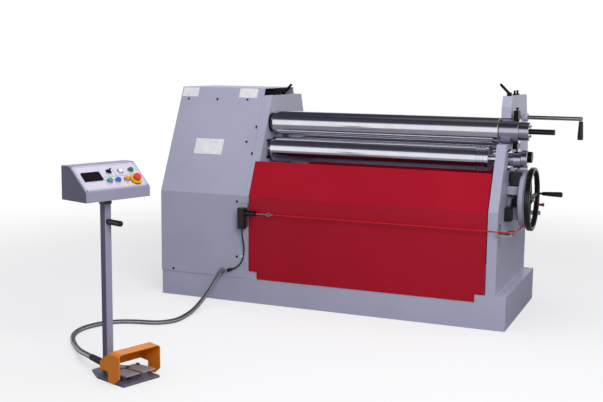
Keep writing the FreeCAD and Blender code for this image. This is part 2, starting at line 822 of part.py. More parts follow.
def pedal_hood():
    """Cast hood over the treadles: one shell, open to the front and below."""
    def profile(shrink):
        return [(-5 - shrink * 3, 36), (-5 - shrink * 3, 138 - shrink), (52 - shrink * 0.5, 141 - shrink),
                (127 - shrink, 88), (127 - shrink, 55 - shrink * 3), (73, 52 - shrink * 3), (73, 8 - shrink),
                (30, 8 - shrink)]
    outer = plate_x(profile(0.0), -hood_half_width, hood_half_width)
    upper = edges_where(outer, lambda e: along(e, Y_AXIS) is False and e.BoundBox.ZMin > 130
                        and abs(e.BoundBox.XMax - e.BoundBox.XMin) < 0.01)
    outer = outer.makeFillet(14.0, upper)
    inner_half = hood_half_width - hood_wall
    inner = plate_x([(-30, -5), (-30, 138 - hood_wall), (52, 141 - hood_wall), (127 - hood_wall, 86),
                     (127 - hood_wall, -5)], -inner_half, inner_half)
    inner = inner.makeFillet(10.0, edges_where(inner, lambda e: e.BoundBox.ZMin > 130
                             and abs(e.BoundBox.XMax - e.BoundBox.XMin) < 0.01))
    shell = cut(outer, inner)
    feet = [box(side * inner_half, side * (inner_half - hood_foot), 32, 71, pedal_thickness,
                pedal_thickness + hood_wall) for side in (-1, 1)]
    joined = [box(side * (inner_half + 1), side * (inner_half - 1), 32, 71, pedal_thickness,
                  pedal_thickness + hood_wall) for side in (-1, 1)]
    lug = box(pedal_gland_start[0] - 28, pedal_gland_start[0] + 28, hood_back_y - hood_wall, hood_back_y,
              pedal_gland_z - 20, 60)
    return fuse(shell, lug, *feet, *joined)


def treadle(side):
    """Bent steel treadle on its hinge barrel; side -1 is the left one."""
    near = side * treadle_half_gap
    far = side * (treadle_half_gap + treadle_width)
    front_z = treadle_hinge_z + 10
    outline = [(treadle_front_y, front_z - treadle_thickness), (treadle_front_y, front_z),
               (treadle_hinge_y, treadle_hinge_z + 3), (treadle_hinge_y, treadle_hinge_z - 2)]
    leaf = plate_x(outline, min(near, far), max(near, far))
    barrel_half = 18.0
    middle = (near + far) / 2
    barrel = rod_x(middle - barrel_half, middle + barrel_half, treadle_hinge_y, treadle_hinge_z, 8.0)
    bore = rod_x(middle - barrel_half - 60, middle + barrel_half + 60, treadle_hinge_y, treadle_hinge_z,
                 treadle_pin_radius + running_clearance)
    slot_back = box(min(near, far) - 1, middle - barrel_half, treadle_hinge_y - 13, treadle_hinge_y + 10,
                    treadle_hinge_z - 12, treadle_hinge_z + 12)
    slot_front = box(middle + barrel_half, max(near, far) + 1, treadle_hinge_y - 13, treadle_hinge_y + 10,
                     treadle_hinge_z - 12, treadle_hinge_z + 12)
    return cut(fuse(leaf, barrel), bore, slot_back, slot_front)


def treadle_bearing():
    """Pedestal with ears and the long pin that both treadles turn on."""
    pin_half = treadle_half_gap + treadle_width
    pin = rod_x(-pin_half, pin_half, treadle_hinge_y, treadle_hinge_z, treadle_pin_radius)
    ears = []
    middle = treadle_half_gap + treadle_width / 2
    for x in (-pin_half, -middle + 20, middle - 27, pin_half - 7):
        ears.append(box(x, x + 7, treadle_hinge_y - 9, treadle_hinge_y + 9, pedal_thickness,
                        treadle_hinge_z + 8))
    bed = box(-pin_half, pin_half, treadle_hinge_y - 9, treadle_hinge_y + 9, pedal_thickness,
              pedal_thickness + 8)
    return fuse(bed, pin, *ears)


def stand_pole():
    half = pole_size / 2
    tube = box(-half, half, pole_y - half, pole_y + half, pedal_thickness, console_low_z)
    tube = tube.makeFillet(4.0, edges_where(tube, lambda e: along(e, Z_AXIS)))
    inner = half - pole_wall
    return cut(tube, box(-inner, inner, pole_y - inner, pole_y + inner, pedal_thickness - 1,
                         console_low_z + 1))


def pole_collar():
    half = pole_size / 2
    outer = box(-half - 3, half + 3, pole_y - half - 3, pole_y + half + 3,
                console_low_z - collar_height, console_low_z)
    outer = outer.makeFillet(5.0, edges_where(outer, lambda e: along(e, Z_AXIS)))
    inner = box(-half, half, pole_y - half, pole_y + half, console_low_z - collar_height - 1,
                console_low_z + 1)
    inner = inner.makeFillet(4.0, edges_where(inner, lambda e: along(e, Z_AXIS)))
    return cut(outer, inner)


def stand_grip():
    """Round handle that stands out of the pole towards the operator."""
    start = pole_y - pole_size / 2
    bar = rod(vec(0, start, stand_grip_z), vec(0, start - stand_grip_length, stand_grip_z), stand_grip_radius)
    rim = [e for e in bar.Edges if isinstance(e.Curve, Part.Circle) and e.Curve.Center.y < start - 10]
    return bar.makeFillet(9.0, rim)


def console_body():
    """Folded steel console with a sloping front, hollow inside."""
    outline = [(console_front_y, console_low_z), (console_front_y, console_lip_z),
               (console_fold_y, console_top_z), (console_back_y, console_top_z),
               (console_back_y, console_low_z)]
    return plate_x(outline, -console_half_width, console_half_width)


panel_inset = 7.0
panel_run = math.hypot(console_fold_y - console_front_y, console_top_z - console_lip_z)
panel_slope = math.degrees(math.atan2(console_top_z - console_lip_z, console_fold_y - console_front_y))


def on_panel(shape):
    """Lays a shape, drawn flat with z as the panel's normal, on the sloping front."""
    copy = shape.copy()
    copy.rotate(vec(0, 0, 0), X_AXIS, panel_slope)
    copy.translate(vec(0, console_front_y, console_lip_z))
    return copy


def console_panel():
    sheet = box(-console_half_width + panel_inset, console_half_width - panel_inset,
                panel_inset, panel_run - panel_inset, 0, panel_thickness)
    sheet = sheet.makeFillet(3.0, edges_where(sheet, lambda e: along(e, Z_AXIS)))
    return on_panel(sheet)


display_x = -94.0
display_v = 79.0
display_width = 92.0
display_height = 48.0
selector_place = (0.0, 97.0)
lamp_place = (60.0, 95.0)
green_place = (114.0, 95.0)
teal_place = (-22.0, 46.0)
blue_place = (20.0, 46.0)
orange_place = (66.0, 46.0)
bezel_radius = 14.0
bezel_height = 6.0
cap_radius = 11.0
cap_height = 9.0
button_gap = 3.5
estop_x = 112.0
estop_v = 42.0
estop_seat_radius = 20.0
estop_seat_height = 9.0
estop_stem_radius = 9.0
estop_head_radius = 17.0
estop_press = 5.0


def display_frame():
    frame = box(display_x - display_width / 2, display_x + display_width / 2,
                display_v - display_height / 2, display_v + display_height / 2,
                panel_thickness, panel_thickness + 5)
    frame = frame.makeFillet(3.0, edges_where(frame, lambda e: along(e, Z_AXIS)))
    return on_panel(frame)


def button_bezel(x, v):
    low = panel_thickness
    ring = rod_z(x, v, low, low + bezel_height, bezel_radius)
    ring = ring.makeChamfer(1.5, [e for e in ring.Edges if is_circle(e, bezel_radius)
                                  and e.Curve.Center.z > low + 1])
    return cut(ring, rod_z(x, v, low + 1, low + bezel_height + 1, cap_radius + slide_clearance))


def button_bezels():
    """The rings of the six panel fittings, the lamp's lens and the stop button's ring."""
    places = (selector_place, lamp_place, green_place, teal_place, blue_place, orange_place)
    lamp = rod_z(*lamp_place, panel_thickness + 1, panel_thickness + 9, cap_radius - 1)
    ring = rod_z(estop_x, estop_v, panel_thickness, panel_thickness + estop_seat_height, estop_seat_radius)
    well = rod_z(estop_x, estop_v, panel_thickness + 1, panel_thickness + estop_seat_height + 1,
                 estop_stem_radius + slide_clearance)
    return on_panel(compound([button_bezel(x, v) for x, v in places[:1] + places[2:]]
                            + [fuse(button_bezel(*lamp_place), lamp), cut(ring, well)]))


def button_cap(x, v):
    """A pressed cap that stands on its return spring, clear of its bezel's floor."""
    low = panel_thickness + 1 + button_gap
    cap = rod_z(x, v, low, low + cap_height, cap_radius)
    return on_panel(cap)


def estop_head():
    low = panel_thickness + 1 + estop_press
    seat = panel_thickness + estop_seat_height + estop_press
    stem = rod_z(estop_x, estop_v, low, seat + 1, estop_stem_radius)
    head = rod_z(estop_x, estop_v, seat, seat + 14, estop_head_radius)
    head = head.makeFillet(5.0, [e for e in head.Edges if is_circle(e, estop_head_radius)
                                 and e.Curve.Center.z > seat + 5])
    return on_panel(fuse(stem, head))


# Hose from the cabinet to the pedal, and the switch cable
hose_radius = 12.0
hose_floor_z = 12.5
gland_drop = 24.0
gland_sleeve_length = 30.0
pedal_gland_start = (-50.0, 127.0)
pedal_gland_end = (-24.0, 300.0)
pedal_gland_z = 48.0
hose_last_run = 75.0


def cabinet_gland():
    """Nut on the cabinet and a sleeve that leans down with the hose."""
    y0 = -half_depth
    face = y0 - cover_sheet
    nut = rod(vec(conduit_x, face, conduit_z), vec(conduit_x, face - 14, conduit_z), 19.0)
    stub = rod(vec(conduit_x, y0, conduit_z), vec(conduit_x, face, conduit_z), conduit_stub_radius)
    start, end = gland_line()
    return fuse(nut, stub, rod(start, end, hose_radius + 4))


def gland_line():
    drop = math.radians(gland_drop)
    start = vec(conduit_x, -half_depth - 12, conduit_z)
    way = vec(0, -math.cos(drop), -math.sin(drop))
    return start, start + way * gland_sleeve_length


def pedal_gland():
    """Tapered rubber sleeve where the hose enters the pedal."""
    start = vec(*pedal_gland_start, pedal_gland_z)
    end = vec(*pedal_gland_end, pedal_gland_z)
    behind = start - (end - start).normalize() * 10
    sleeve = cone(behind, end, hose_radius + 5, hose_radius + 2)
    return cut(sleeve, box(-hood_half_width, hood_half_width, 0, hood_back_y, 0, 2 * pedal_gland_z))


def hose_points():
    """The hose's route: down to the floor, round to the left, into the pedal's back."""
    start, end = gland_line()
    way = (end - start).normalize()
    first = end + way * 60.0
    last = stand_point(*pedal_gland_end, pedal_gland_z)
    out = stand_direction(pedal_gland_end[0] - pedal_gland_start[0],
                          pedal_gland_end[1] - pedal_gland_start[1], 0).normalize()
    before = last + out * hose_last_run
    z = hose_floor_z
    middle = [vec(-602, -570, 88), vec(-601, -655, 49), vec(-599, -740, 22), vec(-596, -820, z + 0.5),
              vec(-590, -918, z), vec(-605, -966, z), vec(-636, -1005, z), vec(-679, -1031, z),
              vec(-770, -1049, z), vec(-850, -1082, z), vec(-905, -1150, z), vec(-934, -1235, z),
              vec(-934, -1315, z), vec(-905, -1395, z), vec(-855, -1465, z), vec(-790, -1535, z),
              vec(-705, -1620, 24)]
    return [end, first] + middle + [before, last]


def tube_path(points, share=0.45, name=""):
    """Straight runs joined by tangent arcs as large as the runs allow."""
    edges = []
    at = points[0]
    radii = []
    for index in range(1, len(points) - 1):
        corner = points[index]
        to_back = points[index - 1] - corner
        to_next = points[index + 1] - corner
        run = min(to_back.Length, to_next.Length)
        to_back.normalize()
        to_next.normalize()
        half_turn = (math.pi - math.acos(max(-1.0, min(1.0, to_back.dot(to_next))))) / 2
        leg = share * run
        radius = leg / math.tan(half_turn)
        begin = corner + to_back * leg
        finish = corner + to_next * leg
        inward = (to_back + to_next).normalize()
        middle = corner + inward * (radius / math.cos(half_turn) - radius)
        edges.append(Part.makeLine(at, begin))
        edges.append(Part.Arc(begin, middle, finish).toShape())
        radii.append(round(radius))
        at = finish
    edges.append(Part.makeLine(at, points[-1]))
    wire = Part.Wire(edges)
    print(name, "radii", radii, "length", round(wire.Length))
    return wire


def tube_along(points, radius, name):
    path = tube_path(points, name=name)
    way = points[1] - points[0]
    profile = Part.Wire(Part.makeCircle(radius, points[0], way))
    tube = path.makePipeShell([profile], True, False)
    share = tube.Volume / (math.pi * radius ** 2 * path.Length)
    print(name, "volume against section times length", round(share, 4))
    return tube


def control_hose():
    return tube_along(hose_points(), hose_radius, "hose")


switch_cable_radius = 4.0
cable_gland_radius = 8.0
cable_gland_length = 22.0
cable_gland_rise = 20.0
cable_clip_z = 262.0


def cable_gland_line():
    """Axis of the gland's side outlet, which points up to the right."""
    rise = math.radians(cable_gland_rise)
    start = vec(cable_gland_x, -half_depth - 16, cable_gland_z)
    return start, start + vec(math.cos(rise), 0, math.sin(rise)) * cable_gland_length


def switch_cable():
    """Lead from the switch down the cabinet's edge to its gland."""
    start, end = cable_gland_line()
    way = (end - start).normalize()
    y = -half_depth - cover_sheet - switch_cable_radius - 5
    points = [vec(switch_x, switch_y, switch_low_z), vec(switch_x + 1, switch_y + 1, switch_low_z - 40),
              vec(switch_x + 4, switch_y + 12, switch_low_z - 80), vec(switch_x + 5, y, switch_low_z - 122),
              vec(switch_x + 2, y - 1, cable_clip_z), vec(switch_x - 13, y - 2, cable_clip_z - 38),
              end + way * 30.0, end]
    return tube_along(points, switch_cable_radius, "switch cable")


def cable_fittings():
    """Elbow gland low on the cabinet and the saddle that holds the lead off it."""
    start, end = cable_gland_line()
    nut = rod(vec(cable_gland_x, -half_depth, cable_gland_z), start, cable_gland_radius + 2)
    elbow = Part.makeSphere(cable_gland_radius + 1, start)
    outlet = rod(start, end, cable_gland_radius)
    back = -half_depth - cover_sheet
    saddle = box(left_out_x - 22, left_out_x, back, back - 4.7, cable_clip_z - 6, cable_clip_z + 6)
    return compound([fuse(nut, elbow, outlet), saddle])


def push_buttons():
    """Names and places of the pressed buttons on the panel."""
    return {"button_green": green_place, "button_teal": teal_place,
            "button_blue": blue_place, "button_orange": orange_place}


def selector_knob():
    x, v = selector_place
    low = panel_thickness + 1 + slide_clearance
    disc = rod_z(x, v, low, low + 6, cap_radius)
    bar = box(x - 3.5, x + 3.5, v - 10, v + 10, low + 5, low + 16)
    bar = turned(bar, -40.0, vec(x, v, 0), Z_AXIS)
    return on_panel(fuse(disc, bar))


def rope_fittings():
    """Everything that carries the trip rope: plates, arms, eye and pulley."""
    return compound([switch_bracket(), rope_ring(), fuse(rope_bracket(), rope_pulley()), rope_anchor()])


def build_parts():
    parts = {
        "base_frame": base_frame(),
        "left_end_frame": left_end_frame(),
        "right_end_frame": right_end_frame(),
        "drive_cabinet": drive_cabinet(),
        "front_guard": guard_sheet(-1),
        "rear_guard": guard_sheet(1),
        "top_roll": top_roll(),
        "socket_ring": socket_ring(),
        "top_bearing_housing": top_bearing_housing(),
        "top_bearing_cap": top_bearing_cap(),
        "pull_rod": pull_rod(),
        "bearing_yoke": bearing_yoke(),
        "pinch_roll": pinch_roll(),
        "pinch_blocks": compound([pinch_block(left_out_x, left_in_x + block_standout),
                                  pinch_block(right_in_x - block_standout, right_out_x + block_standout)]),
        "pinch_end_bearing": fuse(pinch_end_bearing(), pinch_drum()),
        "pinch_knob": pinch_knob(),
        "rear_roll": rear_roll(),
        "rear_blocks": compound([rear_block(left_out_x, left_in_x + block_standout),
                                 rear_block(right_in_x - block_standout, right_out_x + block_standout)]),
        "handwheel": handwheel(),
        "handwheel_grip": handwheel_grip(),
        "gear_bracket": gear_bracket(),
        "position_box": position_box(),
        "crank_bar": crank_bar(),
        "crank_grip": crank_grip(),
        "clamp_lever_left": clamp_lever_left(),
        "clamp_lever_right": clamp_lever_right(),
        "lock_knobs": compound([lock_knobs(ball_x, left_frame_height, (-60.0, 0.0)),
                                lock_knobs(clamp_screw_x, right_frame_height, (43.0, 120.0))]),
        "rope_switch": rope_switch(),
        "trip_rope": trip_rope(),
        "rope_fittings": rope_fittings(),
        "cabinet_gland": cabinet_gland(),
        "control_hose": control_hose(),
        "switch_cable": switch_cable(),
        "cable_fittings": cable_fittings(),
    }
    on_stand = {
        "pedal_plate": pedal_plate(),
        "pedal_hood": pedal_hood(),
        "treadle_left": treadle(-1),
        "treadle_right": treadle(1),
        "treadle_bearing": treadle_bearing(),
        "pedal_gland": pedal_gland(),
        "stand_pole": stand_pole(),
        "pole_collar": pole_collar(),
        "stand_grip": stand_grip(),
        "console_body": console_body(),
        "console_panel": console_panel(),
        "display": display_frame(),
        "button_bezels": button_bezels(),
        "estop_head": estop_head(),
        "selector_knob": selector_knob(),
    }
    for name, (x, v) in push_buttons().items():
        on_stand[name] = button_cap(x, v)
    for name, shape in on_stand.items():
        parts[name] = place_stand(shape)
    return parts


def main():
    os.makedirs("parts", exist_ok=True)
    for name, shape in build_parts().items():
        shape.exportStep("parts/" + name + ".step")
        limits = shape.BoundBox
        print(name, len(shape.Solids), shape.isValid(), round(shape.Volume / 1e3),
              [round(v) for v in (limits.XMin, limits.XMax, limits.YMin, limits.YMax, limits.ZMin, limits.ZMax)])


main()
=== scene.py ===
"""Looks of a three-roll plate rolling machine and its foot control stand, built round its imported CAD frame."""

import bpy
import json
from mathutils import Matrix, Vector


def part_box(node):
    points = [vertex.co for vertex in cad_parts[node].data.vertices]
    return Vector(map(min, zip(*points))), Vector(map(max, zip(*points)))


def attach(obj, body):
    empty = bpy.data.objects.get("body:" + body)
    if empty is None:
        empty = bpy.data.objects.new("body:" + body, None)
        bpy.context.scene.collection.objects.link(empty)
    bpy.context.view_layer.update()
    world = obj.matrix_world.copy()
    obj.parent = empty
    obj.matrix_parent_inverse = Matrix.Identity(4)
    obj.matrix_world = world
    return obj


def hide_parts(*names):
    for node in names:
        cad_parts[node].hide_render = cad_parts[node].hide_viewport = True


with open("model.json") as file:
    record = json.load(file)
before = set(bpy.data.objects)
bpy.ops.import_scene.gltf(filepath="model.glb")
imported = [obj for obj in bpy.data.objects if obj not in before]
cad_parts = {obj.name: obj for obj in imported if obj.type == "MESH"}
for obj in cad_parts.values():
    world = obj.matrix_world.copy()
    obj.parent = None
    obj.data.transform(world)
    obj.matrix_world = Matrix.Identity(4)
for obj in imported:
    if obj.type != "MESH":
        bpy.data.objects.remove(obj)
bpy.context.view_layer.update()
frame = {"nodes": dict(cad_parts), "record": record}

import json
import math

import bmesh
import bpy
from bpy.props import FloatProperty, FloatVectorProperty, IntProperty, PointerProperty
from mathutils import Matrix, Vector

bl_info = {
    "name": "Plate Roll Finish",
    "version": (1, 0, 0),
    "blender": (4, 5, 0),
    "location": "View3D > Sidebar > Plate Roll",
    "description": "Paint, polished steel, hose, fasteners and studio for a three-roll plate rolling machine",
    "category": "Object",
}

SLOT_OF = {part["node"]: part["material_slot"] for part in frame["record"]["subparts"]}

# Sizes shared with the solids, in metres
BASE_HALF_DEPTH = 0.400
COVER_SHEET = 0.003
FRONT_BEND = 0.603
FRONT_LEAN = 0.457
BACK_BEND = 0.790
BACK_LEAN = 0.3575
LEFT_FRAME_X = (-0.465, -0.415)
RIGHT_FRAME_X = (0.890, 0.940)
STAND_ANGLE = math.radians(70.9)
STAND_PLACE = Vector((-0.2579, -1.8214, 0.0))
PANEL_FOOT = Vector((0.0, 0.120, 0.805))
PANEL_SLOPE = math.atan2(0.100, 0.113)
WHEEL = Vector((1.055, -0.110, 0.645))
RIM_RADIUS = 0.155
GRIP_ANGLE = 4.5
TOP_ROLL = Vector((0.0, -0.145, 0.998))
PINCH_ROLL = Vector((0.0, -0.175, 0.853))
HOUSING_RADIUS = 0.065
ALONG_X = Vector((1, 0, 0))


def linear(code):
    """Linear RGBA from an sRGB hex value."""
    channels = [int(code[i:i + 2], 16) / 255 for i in (0, 2, 4)]
    return tuple(c / 12.92 if c <= 0.04045 else ((c + 0.055) / 1.055) ** 2.4 for c in channels) + (1.0,)


def colour(label, text, code):
    return FloatVectorProperty(name=label, description=text, subtype="COLOR", size=4, min=0.0, max=1.0,
        default=linear(code))


def length(label, text, value):
    return FloatProperty(name=label, description=text, unit="LENGTH", min=0.0, default=value)


def power(label, text, value):
    return FloatProperty(name=label, description=text, subtype="POWER", min=0.0, default=value)


class PlateRollPaints(bpy.types.PropertyGroup):
    machine: colour("Machine", "Enamel on base, end frames and cabinet", "B2B2C8")
    guard: colour("Guards", "Enamel on the folded guards", "AC0C26")
    hood: colour("Foot switch hood", "Enamel on the cast hood", "F08C12")
    pedal: colour("Foot switch plate", "Enamel on the floor plate", "66667A")
    console: colour("Console", "Enamel on console and pole", "9C9AB2")
    # Darker enamel of the console's end cheeks, also put on the pole's -X side as painted shade
    console_end: colour("Console ends", "Enamel on the console's end cheeks", "5E5C76")
    casting: colour("Gear bracket", "Enamel on the castings at the handwheel", "A6A6B8")
    panel: colour("Panel sheet", "Satin film on the sloping panel", "DAD4E6")
    steel: colour("Roll steel", "Ground steel of the rolls", "E2E2EA")
    bearing: colour("Bearing steel", "Oiled turned steel", "B8B6C4")
    zinc: colour("Zinc", "Zinc plated fittings", "B4B4BA")
    rope: colour("Rope", "Cover of the trip rope", "C4141E")
    stop: colour("Stop button", "Moulding of the stop button", "E8402C")
    stop_ring: colour("Stop ring", "Collar under the stop button", "E8C010")
    background: colour("Background", "Backdrop that the camera sees", "FFFFFF")


class PlateRollSizes(bpy.types.PropertyGroup):
    hose_radius: length("Hose radius", "Outside radius of the strip wound hose", 0.012)
    hose_pitch: length("Hose rib pitch", "Distance from rib to rib", 0.0050)
    hose_rib: length("Hose rib depth", "How far the grooves lie under the ribs", 0.0013)
    weld_radius: length("Weld radius", "Size of the fillet welds on the base", 0.0045)
    weld_pitch: length("Weld ripple pitch", "Distance between weld ripples", 0.0060)
    screw_radius: length("Cover screw radius", "Head radius of the cover screws", 0.0065)
    sides: IntProperty(name="Sides", description="Facets round a small round piece", min=8, max=64,
        default=24)


class PlateRollStage(bpy.types.PropertyGroup):
    camera_place: FloatVectorProperty(name="Camera place", description="Where the camera stands",
        subtype="TRANSLATION", default=(1.900, -5.217, 1.340))
    camera_lens: FloatProperty(name="Lens", description="Focal length on a 36 mm frame", unit="CAMERA",
        default=58.31)
    key: power("Key lamp", "Power of the front softbox", 150.0)
    top: power("Top lamp", "Power of the overhead softbox", 60.0)
    side: power("Side lamp", "Power of the right softbox", 6.0)
    fill: FloatProperty(name="Sky", description="Strength of the even light all round", default=0.36)


# Nodes and materials


def add(tree, kind, inputs=None, stops=None, **settings):
    """Adds a node with its settings, its input values or links, and the stops of its ramp.
    A node given as an input stands for its first output."""
    node = tree.nodes.new(kind)
    for name, value in settings.items():
        setattr(node, name, value)
    for key, value in (inputs or {}).items():
        if isinstance(value, bpy.types.Node):
            value = value.outputs[0]
        if isinstance(value, bpy.types.NodeSocket):
            tree.links.new(value, node.inputs[key])
        else:
            node.inputs[key].default_value = value
    if stops:
        ramp = node.color_ramp
        while len(ramp.elements) < len(stops):
            ramp.elements.new(1.0)
        for element, (position, shade) in zip(ramp.elements, stops):
            element.position = position
            element.color = shade if len(shade) == 4 else (*shade, 1.0)
    return node


def new_material(name):
    material = bpy.data.materials.new(name)
    material.use_nodes = True
    tree = material.node_tree
    tree.nodes.clear()
    place = add(tree, "ShaderNodeTexCoord").outputs["Object"]
    return material, tree, place


def close_material(tree, tone, roughness, inputs, gloss=None, less=0.04, more=0.05, reach=(0.3, 0.7)):
    """Ends a material. Where a gloss pattern is given, the roughness follows it a little down and up."""
    if gloss is not None:
        roughness = add(tree, "ShaderNodeMapRange", {"Value": gloss, "From Min": reach[0],
            "From Max": reach[1], "To Min": roughness - less, "To Max": roughness + more})
    shader = add(tree, "ShaderNodeBsdfPrincipled", {"Base Color": tone, "Roughness": roughness, **inputs})
    add(tree, "ShaderNodeOutputMaterial", {"Surface": shader})


def shade_by(tree, paint, pattern, low, high, reach=(0.3, 0.7)):
    """A colour that a pattern makes darker and lighter."""
    factor = add(tree, "ShaderNodeMapRange", {"Value": pattern, "From Min": reach[0], "From Max": reach[1],
        "To Min": low, "To Max": high})
    return add(tree, "ShaderNodeVectorMath", {0: paint[:3], "Scale": factor},
               operation="SCALE")


def soft_bump(tree, height, distance, strength, edge):
    """Normal with a pattern's height, on a surface whose edges look rounded."""
    soft = add(tree, "ShaderNodeBevel", {"Radius": edge}, samples=4)
    return add(tree, "ShaderNodeBump", {"Height": height, "Distance": distance, "Strength": strength,
        "Normal": soft})


def edge_wear(tree, radius, pattern, reach, most=1.0):
    """Where edges are rubbed, found by a rounded normal, and that normal."""
    wide = add(tree, "ShaderNodeBevel", {"Radius": radius}, samples=4)
    flat = add(tree, "ShaderNodeNewGeometry").outputs["Normal"]
    bend = add(tree, "ShaderNodeVectorMath", {0: wide, 1: flat}, operation="DOT_PRODUCT")
    rim = add(tree, "ShaderNodeMapRange", {"Value": bend.outputs["Value"], "From Min": reach[0],
        "From Max": reach[1], "To Max": most})
    worn = add(tree, "ShaderNodeMath", {0: rim, 1: pattern}, operation="MULTIPLY")
    return worn, wide


def enamel(name, paint, roughness=0.36, peel=0.0035, peel_height=0.00006, edge=0.0016, shine=0.5):
    """Sprayed enamel: even colour with slow drift, orange peel gloss and thin paint on edges."""
    material, tree, place = new_material(name)
    # Paint thickness drifts over about 0.4 m
    drift = add(tree, "ShaderNodeTexNoise", {"Vector": place, "Scale": 1 / 0.4, "Detail": 3.0})
    shade = shade_by(tree, paint, drift, 0.95, 1.05)
    # Edges carry thinner and lighter paint, scuffed in spots of 20 mm
    scuff = add(tree, "ShaderNodeTexNoise", {"Vector": place, "Scale": 1 / 0.02, "Detail": 4.0})
    worn, _ = edge_wear(tree, edge * 2.2, scuff, (0.995, 0.90), 0.35)
    light = tuple(min(1.0, c * 1.35 + 0.04) for c in paint[:3]) + (1.0,)
    mixed = add(tree, "ShaderNodeMix", {"Factor": worn, 6: shade, 7: light}, data_type="RGBA")
    # Orange peel, drawn at 3 mm and more so that it shows
    grain = add(tree, "ShaderNodeTexNoise", {"Vector": place, "Scale": 1 / peel, "Detail": 2.0})
    bump = soft_bump(tree, grain, peel_height, 0.6, edge)
    close_material(tree, mixed.outputs[2], roughness, {"Normal": bump, "Specular IOR Level": shine},
                   drift, 0.05, 0.06, (0.2, 0.8))
    return material


def ground_steel(name, metal, roughness=0.2, pitch=0.0016, edge=0.0008):
    """Ground or turned steel: fine rings round the X axis, oil smears and a rounded edge."""
    material, tree, place = new_material(name)
    rings = add(tree, "ShaderNodeMapping", {"Vector": place, "Scale": (1 / pitch, 5.0, 5.0)})
    line = add(tree, "ShaderNodeTexNoise", {"Vector": rings, "Scale": 1.0, "Detail": 3.0})
    # Oil wiped along the roll leaves smears about 60 mm across
    smear = add(tree, "ShaderNodeTexNoise", {"Vector": place, "Scale": 1 / 0.06, "Detail": 5.0,
        "Roughness": 0.6})
    shade = shade_by(tree, metal, smear, 0.93, 1.04)
    bump = soft_bump(tree, line, 0.00002, 0.5, edge)
    close_material(tree, shade, roughness, {"Metallic": 1.0, "Normal": bump}, line)
    return material


def dark_steel(name, paint, roughness=0.36):
    """Blackened steel: hot oil blacking with a dull metal sheen, rubbed brighter on its edges."""
    material, tree, place = new_material(name)
    cloud = add(tree, "ShaderNodeTexNoise", {"Vector": place, "Scale": 1 / 0.015, "Detail": 5.0})
    worn, wide = edge_wear(tree, 0.002, cloud, (0.99, 0.85))
    tone = add(tree, "ShaderNodeMix", {"Factor": worn, 6: paint, 7: linear("77777C")}, data_type="RGBA")
    bump = add(tree, "ShaderNodeBump", {"Height": cloud, "Distance": 0.00008, "Strength": 0.4,
        "Normal": wide})
    close_material(tree, tone.outputs[2], roughness, {"Metallic": 0.85, "Normal": bump},
                   cloud, 0.07, 0.08)
    return material


def zinc_plate(name, metal, roughness=0.34):
    """Bright zinc plating: pale metal, clouded where the bath left it uneven."""
    material, tree, place = new_material(name)
    cloud = add(tree, "ShaderNodeTexNoise", {"Vector": place, "Scale": 1 / 0.008, "Detail": 4.0})
    shade = shade_by(tree, metal, cloud, 0.93, 1.03)
    soft = add(tree, "ShaderNodeBevel", {"Radius": 0.0007}, samples=4)
    close_material(tree, shade, roughness, {"Metallic": 1.0, "Normal": soft}, cloud, 0.06, 0.08)
    return material


def moulded(name, paint, roughness=0.35, grain_size=0.0012, height=0.00004, coat=0.0, edge=0.0008):
    """Injection moulded plastic: solid colour, fine spark-eroded grain and soft edges."""
    material, tree, place = new_material(name)
    grain = add(tree, "ShaderNodeTexNoise", {"Vector": place, "Scale": 1 / grain_size, "Detail": 3.0})
    flow = add(tree, "ShaderNodeTexNoise", {"Vector": place, "Scale": 1 / 0.03, "Detail": 2.0})
    shade = shade_by(tree, paint, flow, 0.92, 1.08)
    bump = soft_bump(tree, grain, height, 0.5, edge)
    close_material(tree, shade, roughness, {"Normal": bump, "Coat Weight": coat, "Coat Roughness": 0.08},
        grain)
    return material


def brushed_sheet(name, paint, roughness=0.4):
    """Satin sheet: brushed lines across the stand's panel, drawn at 1.5 mm so that they show."""
    material, tree, place = new_material(name)
    lines = add(tree, "ShaderNodeMapping", {"Vector": place, "Rotation": (0.0, 0.0, -STAND_ANGLE),
        "Scale": (4.0, 1 / 0.0015, 1 / 0.0015)})
    brush = add(tree, "ShaderNodeTexNoise", {"Vector": lines, "Scale": 1.0, "Detail": 2.0})
    shade = shade_by(tree, paint, brush, 0.96, 1.03)
    close_material(tree, shade, roughness, {"Normal": soft_bump(tree, brush, 0.00003, 0.4, 0.0006)})
    return material


def rope_cover(name, paint):
    """Red plastic over steel rope: the strands press through as a slanting lay of 12 mm."""
    material, tree, place = new_material(name)
    lay = add(tree, "ShaderNodeTexWave", {"Vector": place, "Scale": 1 / 0.012 / 6.283, "Distortion": 1.5,
        "Detail": 1.0}, wave_type="BANDS", bands_direction="DIAGONAL")
    shade = shade_by(tree, paint, lay.outputs["Fac"], 0.88, 1.1, (0.0, 1.0))
    bump = add(tree, "ShaderNodeBump", {"Height": lay.outputs["Fac"], "Distance": 0.0003, "Strength": 0.6})
    close_material(tree, shade, 0.34, {"Normal": bump})
    return material


def smoked_window(name, paint):
    """Smoked acrylic over an unlit display: near black brown with a hard gloss."""
    material, tree, place = new_material(name)
    haze = add(tree, "ShaderNodeTexNoise", {"Vector": place, "Scale": 1 / 0.02, "Detail": 2.0})
    tone = add(tree, "ShaderNodeMix", {"Factor": haze, 6: paint, 7: linear("26171A")},
               data_type="RGBA")
    close_material(tree, tone.outputs[2], 0.12, {"Coat Weight": 0.6, "Coat Roughness": 0.04})
    return material


def paints():
    return bpy.context.scene.plate_roll_paints


GLOSSY_CAP = {"roughness": 0.2, "coat": 0.5}
